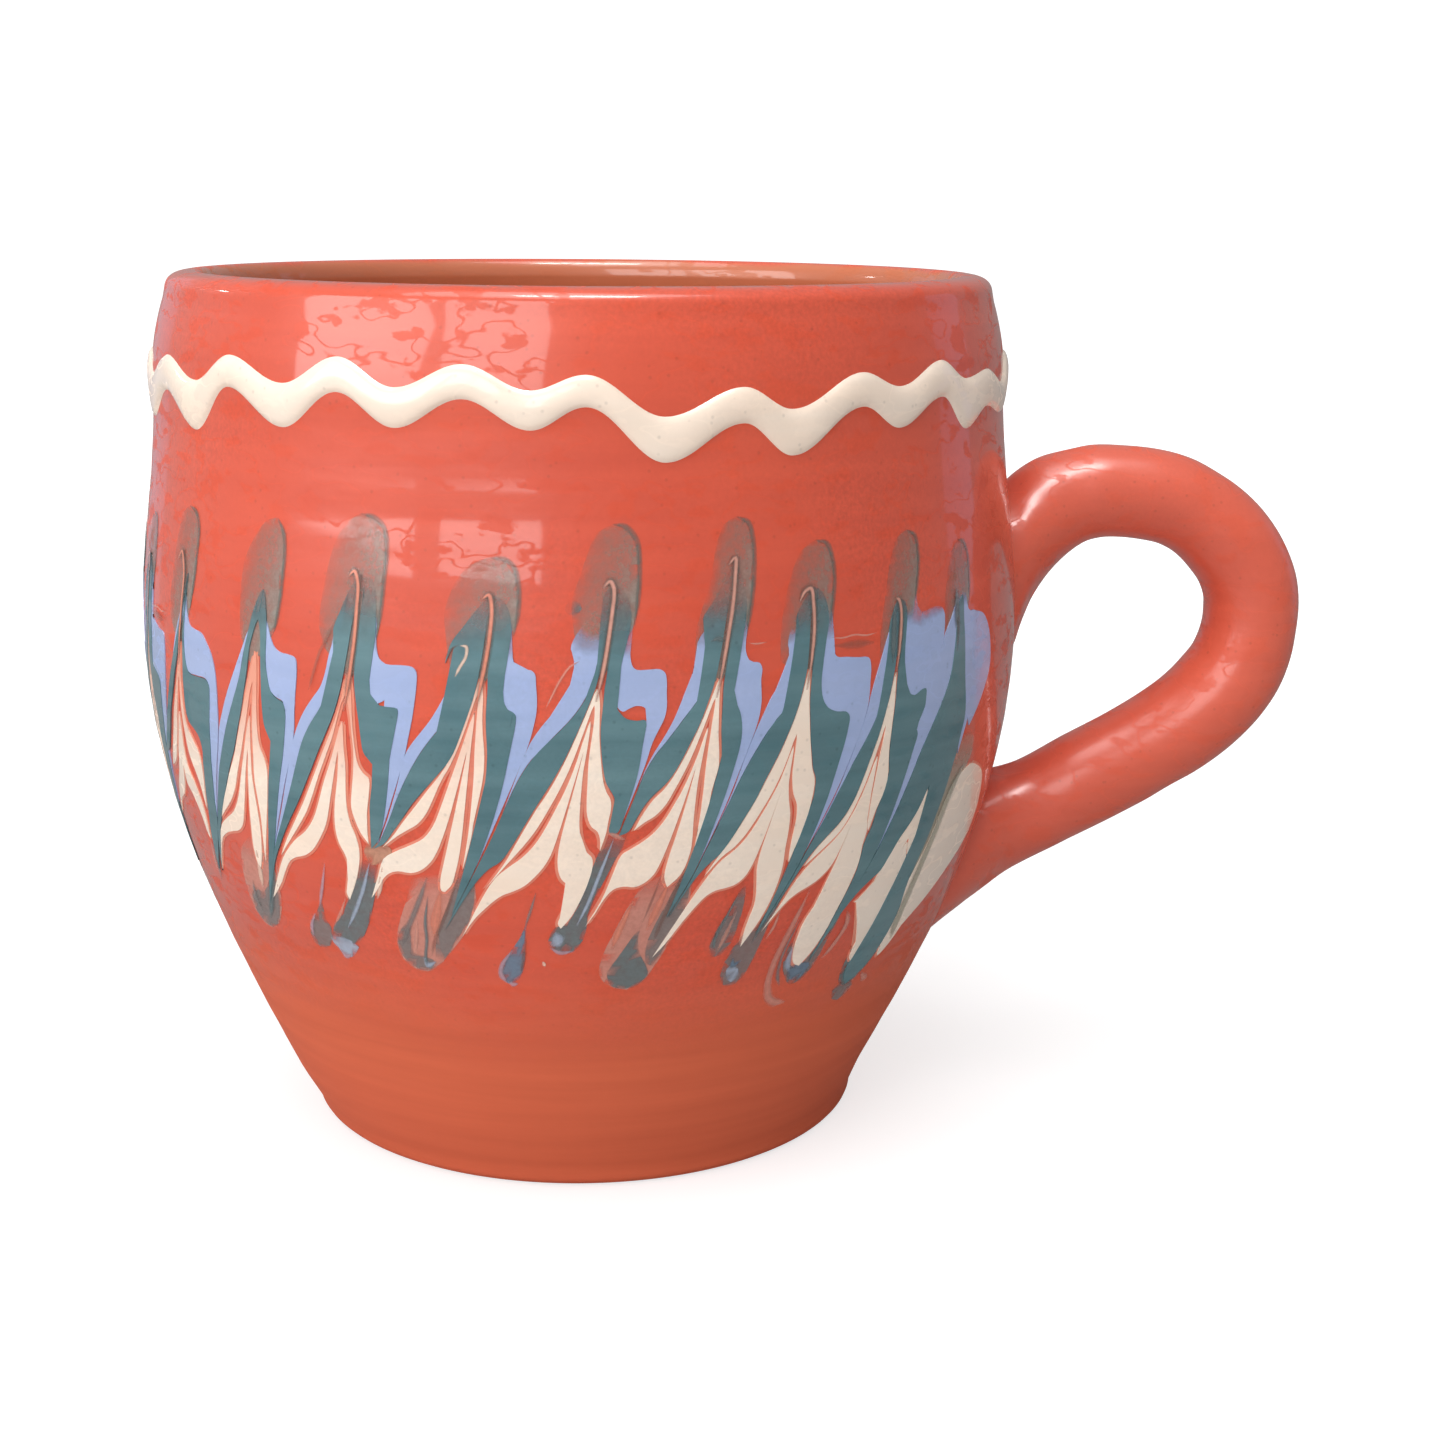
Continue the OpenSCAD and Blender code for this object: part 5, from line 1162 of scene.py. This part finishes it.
# %% Streaks: (tint, half width, knots)
streaks = {
    "A": [
        ("smoke", 0.7, [(-41.2, 38), (-41.2, 34.5), (-41.5, 31.6)]),
        ("pink", 0.35, [(-42.1, 37), (-42, 34), (-41.9, 32.4)])],
    "B": [
        ("dark", 0.6, [(-29.5, 39), (-29.8, 35), (-30.2, 31.8), (-30.7, 29.6)]),
        ("pale", 0.5, [(-32.2, 37.5), (-31.8, 35), (-31.5, 33.2)]),
        ("pink", 0.3, [(-29, 37), (-28.8, 34), (-29, 32.6)]),
        ("smoke", 0.4, [(-33.4, 33.6), (-33.1, 31.6), (-32, 30)])],
    "C": [
        ("lilac", 0.3, [(-22.2, 38), (-22.4, 35), (-22.6, 32.6)]),
        ("lilac", 0.35, [(-23.2, 32), (-23.7, 30.4), (-23.4, 29)]),
        ("sky", 0.32, [(-16.9, 38.8), (-17.2, 36), (-17.8, 33.4), (-18.6, 31)]),
        ("pink", 0.3, [(-19.2, 34.6), (-19.8, 32.4), (-20.4, 31.2)]),
        ("pale", 0.34, [(-15.4, 38.6), (-15.3, 36.4), (-15.4, 35)]),
        ("lilac", 0.34, [(-19.6, 28.4), (-18.6, 27.5), (-17.8, 28)]),
        ("brown", 0.22, [(-24.2, 63), (-24.9, 61.2), (-25.6, 59.4), (-26, 57.4), (-26.3, 55.6)])],
    "D": [
        ("smoke", 0.45, [(-10.4, 38), (-10.8, 35), (-11.4, 32), (-11.6, 30)]),
        ("pink", 0.32, [(-10.5, 33.2), (-10.2, 31), (-9.9, 29)]),
        ("dark", 0.26, [(-9.9, 36), (-9.6, 33), (-9, 31), (-8.7, 29), (-8.3, 28)]),
        ("salmon", 0.75, [(-8.7, 37), (-8.6, 34), (-8.3, 31.4)]),
        ("brown", 0.3, [(-7.2, 38.4), (-7.6, 34), (-8.1, 31), (-8, 29.2)]),
        ("sky", 0.42, [(-8.9, 29), (-8.2, 28.1), (-7.4, 28.6)]),
        ("pale", 0.2, [(-11.5, 61), (-10.9, 60.9), (-10.8, 60), (-11.2, 59), (-11.5, 58.1)]),
        ("brown", 0.16, [(-11.6, 61.1), (-12.3, 60.6), (-12.8, 59.6)])],
    "E": [
        ("lilac", 0.34, [(0.5, 30.6), (-0.05, 29), (0.1, 27.8), (1.1, 26.8)]),
        ("brown", 0.3, [(1.5, 32), (2, 29.6), (2.3, 27.8)]),
        ("lilac", 0.34, [(1.2, 27), (1.9, 26.6), (2.4, 26.7)]),
        ("smoke", 0.22, [(0.95, 37), (1, 35), (1, 33)]),
        ("sky", 0.26, [(6.8, 42.6), (6.6, 39), (6.5, 36), (6.2, 33.4)]),
        ("sky", 0.8, [(4.3, 32.7), (4.8, 31.8), (5.3, 31.1)]),
        ("lilac", 0.3, [(4.3, 31), (5.6, 30.4), (7, 30.6)]),
        ("pink", 0.3, [(6, 43.25), (6.8, 43), (7.9, 42.5)]),
        ("pink", 0.16, [(-0.3, 59.8), (-1.1, 59.3), (-1.8, 58), (-2.2, 56.8), (-2.6, 55.4)]),
        ("pale", 0.22, [(4.1, 29.4), (4.35, 29.1), (4.6, 28.8)])],
    "F": [
        ("salmon", 0.55, [(11, 36), (10.8, 33), (10.9, 30.6)]),
        ("brown", 0.2, [(12.8, 38.6), (12.9, 36), (12.9, 33.6)]),
        ("salmon", 0.6, [(13.9, 38), (13.8, 35), (13.7, 32.6)]),
        ("brown", 0.32, [(15, 39.4), (14.9, 36), (14.9, 33), (15, 31.4)]),
        ("dark", 0.3, [(11.6, 61.3), (12.3, 61.5), (13, 61.2)]),
        ("pink", 0.13, [(15.3, 60.95), (16.2, 60.8), (17.3, 60.9)])],
    "G": [
        ("dark", 0.24, [(22.1, 36), (21.95, 33.4), (21.9, 31), (22.4, 29.8)]),
        ("pink", 0.36, [(22.8, 34), (22.9, 31.4), (22.9, 29.4)]),
        ("dark", 0.4, [(27.4, 40), (27.2, 36), (26.9, 33), (26.7, 30)]),
        ("ink", 0.4, [(25.3, 28.6), (25.9, 27.7), (26.6, 28.2)]),
        ("pink", 0.4, [(25.6, 33), (25.3, 31), (25.3, 30)]),
        ("pink", 0.3, [(28.2, 33.4), (28.5, 31.6), (28.3, 30.2)]),
        ("pink", 0.13, [(24.3, 60.7), (25.6, 60.55), (27, 60.7), (28.4, 60.5), (29.8, 60.6)]),
        ("brown", 0.5, [(24.6, 59.9), (27, 59.8), (29.6, 59.7)])],
    "H": [
        ("pink", 0.55, [(30.9, 35), (31, 31), (31.2, 28), (32, 25.2), (33.4, 23.2), (35, 22.2), (36.8, 21.9)]),
        ("smoke", 0.3, [(31.6, 32), (31.8, 28.6), (32.8, 25.8), (34.2, 24.2)]),
        ("sky", 0.5, [(32.7, 28.8), (33.3, 27), (34.3, 25.8)]),
        ("pink", 0.5, [(38.3, 31.6), (39.4, 30), (39.2, 27.8), (38.5, 26.4)]),
        ("dark", 0.5, [(31.9, 62.8), (32.1, 61), (32.2, 59.6), (32.5, 57.4)])],
    "I": [
        ("sky", 0.4, [(46.5, 33), (47, 29), (47.6, 25.6)]),
        ("pink", 0.5, [(48.6, 22.8), (50, 22), (51, 21.6)]),
        ("dark", 0.55, [(42, 63.4), (42.2, 62.2), (42.3, 61), (42.2, 59.4)]),
        ("halo", 0.4, [(42.1, 63), (42.6, 60.4), (43, 57)]),
        ("sage", 0.9, [(50, 44.5), (48.8, 42), (48.6, 38), (48.9, 33), (49.8, 28.4), (51, 26)])]}
print(sum(len(group) for group in streaks.values()), "streaks")

# %% [markdown]
# All the thin films share one recipe. Their colour and their cover come from two attributes on the
# mesh, so one piece can hold brown tongues, grey-green puddles and light blue streaks. Fine noise breaks
# up the cover of the tongues, as watery slip dries in grains; the puddles are smoother.

# %% Materials of the thin films


def film_finish(name, least, most):
    """A see-through slip whose cover is broken up between least and most of its value."""
    film, tree, shader = new_material(name)
    tint = add(tree, "ShaderNodeAttribute", (-4, 5), attribute_name="tint").outputs["Color"]
    cover = add(tree, "ShaderNodeAttribute", (-4, 6), attribute_name="cover").outputs["Fac"]
    skin = use_skin(tree)
    place = add(tree, "ShaderNodeTexCoord", (-6, 3)).outputs["Object"]
    grains = add(tree, "ShaderNodeTexNoise", (-5, 3), Vector=place, Scale=1500, Detail=4, Roughness=0.7)
    share = add(tree, "ShaderNodeMapRange", (-4, 3), Value=grains, From_Min=0.36, From_Max=0.64, To_Min=least,
                To_Max=most)
    cover_all = add(tree, "ShaderNodeMath", (-2, 2), operation="MULTIPLY", use_clamp=True, i0=share, i1=cover)
    coat = add(tree, "ShaderNodeMath", (-2, -3), operation="MULTIPLY", i0=skin["Gloss"], i1=full_coat)
    dent = add(tree, "ShaderNodeBump", (-1, -1), Height=skin["Height"], Distance=0.00012, Strength=0.5)
    feed(tree, shader, Alpha=cover_all, Base_Color=tint, Coat_Weight=coat, Normal=dent, Roughness=0.34,
         Coat_Roughness=0.06)
    return film


tongue_film = film_finish("thin_slip", 0.76, 1.18)
puddle_film = film_finish("run_out_slip", 0.88, 1.08)
print("two thin films")

# %% [markdown]
# Two shapes are enough. A puddle is a flat sheet with an inner line; its cover falls towards the rim, so
# it has no hard edge. A ribbon is a narrow grid bent along its knots, dense in the middle and clear at
# both sides, which is how a streak drawn through wet slip looks.

# %% Helpers for puddles and ribbons


def closed_ring(knots, steps=3):
    """A smooth closed outline through knots."""
    return smooth_edge(knots + [knots[0]], steps)[:-1]


def film_layers(bm):
    """The two vertex layers that a thin film carries."""
    return bm.verts.layers.float_color.new("tint"), bm.verts.layers.float.new("cover")


def puddle(ring, colour, cover, lift, margin):
    """A sheet on the wall; colour and cover take a vertex's place in its box, from 0 to 1."""
    sheet = flat_sheet([ring], margin)
    tint_of, cover_of = film_layers(sheet)
    xs, zs = [v.co.x for v in sheet.verts], [v.co.z for v in sheet.verts]
    for vert in sheet.verts:
        u = (vert.co.x - min(xs)) / (max(xs) - min(xs))
        v = (vert.co.z - min(zs)) / (max(zs) - min(zs))
        vert[tint_of] = colour(u, v)
        vert[cover_of] = cover(u, v) * (0.12 if vert.is_boundary else 1)
    return lay_on_wall(sheet, lift)


def ribbon(knots, half, colour, cover, lift):
    """A soft ribbon on the wall along knots."""
    middle = smooth_edge(knots, 4)
    last = len(middle) - 1
    strip = bmesh.new()
    bmesh.ops.create_grid(strip, x_segments=last, y_segments=4, size=1)
    tint_of, cover_of = film_layers(strip)
    for vert in strip.verts:
        here, across = round((vert.co.x + 1) / 2 * last), vert.co.y
        ahead, behind = middle[min(here + 1, last)], middle[max(here - 1, 0)]
        dx, dz = ahead[0] - behind[0], ahead[1] - behind[1]
        wide = half * min(1, 0.25 + here / 5, 0.3 + (last - here) / 4) * across / (math.hypot(dx, dz) or 1)
        x, z = middle[here][0] - dz * wide, middle[here][1] + dx * wide
        fade = min(1, here / 2, (last - here) / 2)
        vert[tint_of], vert[cover_of] = colour, cover * (1 - abs(across) ** 2) * (0.35 + 0.65 * fade)
        vert.co = on_wall((x + lean(z)) / belly_r - math.pi / 2, z, lift)
    strip.normal_update()
    if sum(face.normal.dot(face.calc_center_median().xy.to_3d()) * face.calc_area() for face in strip.faces) < 0:
        bmesh.ops.reverse_faces(strip, faces=strip.faces)
    return strip


def join_films(name, parts, material):
    """Join puddles and ribbons into one piece."""
    joined = bmesh.new()
    film_layers(joined)
    for part in parts:
        mesh = bpy.data.meshes.new("part")
        part.to_mesh(mesh)
        part.free()
        joined.from_mesh(mesh)
        bpy.data.meshes.remove(mesh)
    piece = finish_piece(name, joined, [material])
    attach(piece, "root")


def blend(a, b, share):
    """Mix two colours."""
    share = max(0, min(1, share))
    return tuple(p + (q - p) * share for p, q in zip(a, b))


print("film helpers ready")

# %% [markdown]
# The spires in view and their repeats behind take the same films, moved with the spire they belong to.

# %% Lay the tongues, the needles, the puddles and the streaks
tan, ash = (0.42, 0.20, 0.15, 1), (0.30, 0.285, 0.245, 1)
inner_line, band_foot = 0.35, 42
tongue_parts, puddle_parts, needle_parts, streak_parts = [], [], [], []
for name, start, low, stretch, rise in [(n, 0, 0, 1, 0) for n in tongues] + repeats:
    def moved(knots):
        return [(start + (x - low) * stretch, z + rise) for x, z in knots]
    outline = moved(tongues[name])
    tongue_parts.append(puddle(
        closed_ring(outline, 2), lambda u, v: blend(tan, ash, 0.1 + 0.75 * u ** 2 + 0.5 * (1 - v)),
        lambda u, v: (0.44 + 0.3 * u ** 3 + 0.3 * (1 - v) ** 2) * (0.45 + 0.55 * min(1, u / 0.3)),
        0.045, inner_line))
    top = max(range(len(outline)), key=lambda n: outline[n][1])
    tongue_parts.append(ribbon(outline[top:-1], 0.3, *tints["rim"], 0.06))
    if name in needles:
        knots = moved(needles[name])
        needle_parts.append(ribbon(knots, 0.5, *tints["halo"], 0.17))
        needle_parts.append(ribbon(knots, 0.24, tints["salmon" if name < "E" else "pink"][0], 0.95, 0.19))
    for order_no, (kind, ring) in enumerate(puddles.get(name, [])):
        colour, cover = tints[kind]
        puddle_parts.append(puddle(
            closed_ring(moved(ring), 2), lambda u, v: colour, lambda u, v: cover * min(1, 0.2 + 3 * (1 - v)),
            0.05 + 0.015 * order_no, inner_line))
    for kind, half, knots in streaks.get(name, []):
        streak_parts.append(ribbon(moved(knots), half, *tints[kind], 0.18 if knots[0][1] > band_foot else 0.115))
join_films("comb_tongues", tongue_parts, tongue_film)
join_films("comb_puddles", puddle_parts, puddle_film)
join_films("comb_streaks", streak_parts, puddle_film)
join_films("comb_needles", needle_parts, puddle_film)
print(len(tongue_parts) + len(puddle_parts) + len(streak_parts) + len(needle_parts), "films laid")

# %% [markdown]
# The photograph is a plain product shot on white. The floor sweeps up behind the mug as in a studio. To
# the camera it is lit from below, as a light table is, which keeps it white without throwing light up at
# the mug's flank, and the glaze doesn't mirror it.

# %% Floor
floor_mesh = bmesh.new()
floor_front, floor_back, floor_half, wall_top = -2.6, 1.7, 3.2, 2.6
sweep_r, sweep_steps = 0.6, 12
sweep = [(floor_front, 0), (floor_back, 0)]
for step in range(1, sweep_steps + 1):
    a = math.pi / 2 * step / sweep_steps
    sweep.append((floor_back + sweep_r * math.sin(a), sweep_r * (1 - math.cos(a))))
sweep.append((2.3, wall_top))
edge_line = [floor_mesh.verts.new((-floor_half, y, z)) for y, z in sweep]
edges = [floor_mesh.edges.new(pair) for pair in zip(edge_line, edge_line[1:])]
wide = bmesh.ops.extrude_edge_only(floor_mesh, edges=edges)["geom"]
bmesh.ops.translate(floor_mesh, vec=(2 * floor_half, 0, 0),
                    verts=[item for item in wide if isinstance(item, bmesh.types.BMVert)])
bmesh.ops.recalc_face_normals(floor_mesh, faces=floor_mesh.faces)
floor_paint, floor_tree, floor_shader = new_material("pale_floor")
from_mug = add(floor_tree, "ShaderNodeTexCoord", (-6, 0)).outputs["Object"]
away = add(floor_tree, "ShaderNodeVectorMath", (-5, 0), operation="LENGTH", i0=from_mug)
lit_from_below = add(floor_tree, "ShaderNodeMapRange", (-4, 0), Value=away.outputs["Value"], From_Min=0.03,
                     From_Max=0.55, To_Min=0.69, To_Max=0.89)
to_camera = add(floor_tree, "ShaderNodeLightPath", (-4, -2)).outputs["Is Camera Ray"]
only_seen = add(floor_tree, "ShaderNodeMath", (-2, 0), operation="MULTIPLY", i0=lit_from_below, i1=to_camera)
feed(floor_tree, floor_shader, Base_Color=(0.47, 0.47, 0.47, 1), Roughness=0.9, Emission_Color=(1, 1, 1, 1),
     Emission_Strength=only_seen)
floor = finish_piece("floor", floor_mesh, [floor_paint])
floor.visible_glossy = False

# %% [markdown]
# The world is the studio's soft light. It is darker on the right, where the photograph's shadow side
# turns brown, a little calmer in what the glaze mirrors, and plain white to the camera.

# %% World
world = bpy.data.worlds.new("studio")
bpy.context.scene.world = world
world.use_nodes = True
world_tree = world.node_tree
seen = add(world_tree, "ShaderNodeLightPath", (-6, 2)).outputs
whither = add(world_tree, "ShaderNodeTexCoord", (-6, 0)).outputs["Generated"]
leftness = add(world_tree, "ShaderNodeVectorMath", (-5, 0), operation="DOT_PRODUCT", i0=whither,
               i1=(-0.75, -0.15, 0.55))
studio_side = add(world_tree, "ShaderNodeMapRange", (-4, 0), Value=leftness.outputs["Value"], From_Min=-0.8,
                  From_Max=0.8, To_Min=0.33, To_Max=0.58)
calmer = add(world_tree, "ShaderNodeMapRange", (-4, 1), Value=seen["Is Glossy Ray"], To_Min=1.0, To_Max=0.75)
around = add(world_tree, "ShaderNodeMath", (-3, 1), operation="MULTIPLY", i0=studio_side, i1=calmer)
brightness = add(world_tree, "ShaderNodeMapRange", (-2, 0), Value=seen["Is Camera Ray"], To_Min=around, To_Max=1.0)
feed(world_tree, world_tree.nodes["Background"], Color=(1.0, 1.0, 1.0, 1), Strength=brightness)
print("world:", len(world_tree.nodes), "nodes")

# %% [markdown]
# One window reflects twice in the glaze, once on the shoulder and once on the belly. Two panes at the left
# front make it, and a soft light hangs overhead. The light that falls on the clay and the light that the
# glaze mirrors need different strengths, so the panes and the overhead light have twins that are only
# mirrored. Two faint bluish panes give the photograph's cool edges, and a small lamp gives a glint.

# %% Lamps
middle = (0, 0, 0.07)


def soft_light(name, where, target, size, power, colour=(1, 1, 1), mirrored_only=False):
    """An area light of the given size in metres that faces a point, or one that is only mirrored in the glaze."""
    lamp = bpy.data.lights.new(name, "AREA")
    lamp.shape = "RECTANGLE"
    lamp.size, lamp.size_y = size
    lamp.energy = power
    lamp.color = colour
    holder = bpy.data.objects.new(name, lamp)
    bpy.context.collection.objects.link(holder)
    holder.visible_diffuse = not mirrored_only
    holder.location = where
    holder.rotation_euler = (Vector(target) - Vector(where)).to_track_quat("-Z", "Y").to_euler()
    return holder


def at_bearing(azimuth, elevation, distance):
    """A place seen from the mug's middle at a bearing, in degrees and metres."""
    az, el = math.radians(azimuth), math.radians(elevation)
    return (distance * math.cos(el) * math.cos(az), distance * math.cos(el) * math.sin(az),
            middle[2] + distance * math.sin(el))

window_el, left_az, right_az = 19.3, -149.3, -112.7
pane_away, twin_away = 1.3, 1.27
left_size, right_size = (0.83, 0.72), (0.59, 0.72)
soft_light("overhead", (-0.2, -0.3, 1.5), (0, 0, 0.05), (1.2, 1.2), 13.5)
soft_light("window_left", at_bearing(left_az, window_el, pane_away), middle, left_size, 3.9)
soft_light("window_right", at_bearing(right_az, window_el, pane_away), middle, right_size, 4.8)
soft_light("window_left_mirrored", at_bearing(left_az, window_el, twin_away), middle, left_size, 5.0,
           mirrored_only=True)
soft_light("window_right_mirrored", at_bearing(right_az, window_el, twin_away), middle, right_size, 0.9,
           mirrored_only=True)
soft_light("overhead_mirrored", (-0.02, -0.4, 1.3), middle, (0.5, 0.3), 9, mirrored_only=True)
soft_light("lamp_glint", at_bearing(156, 17.7, pane_away), middle, (0.09, 0.05), 0.35)
soft_light("sky_right", at_bearing(24, 4, pane_away), middle, (0.36, 0.7), 0.3, (0.75, 0.6, 1.0))
soft_light("sky_behind", at_bearing(122, 4, pane_away), middle, (0.5, 0.7), 0.25, (0.7, 0.65, 1.0))
print("lights:", [light.name for light in bpy.data.lights])
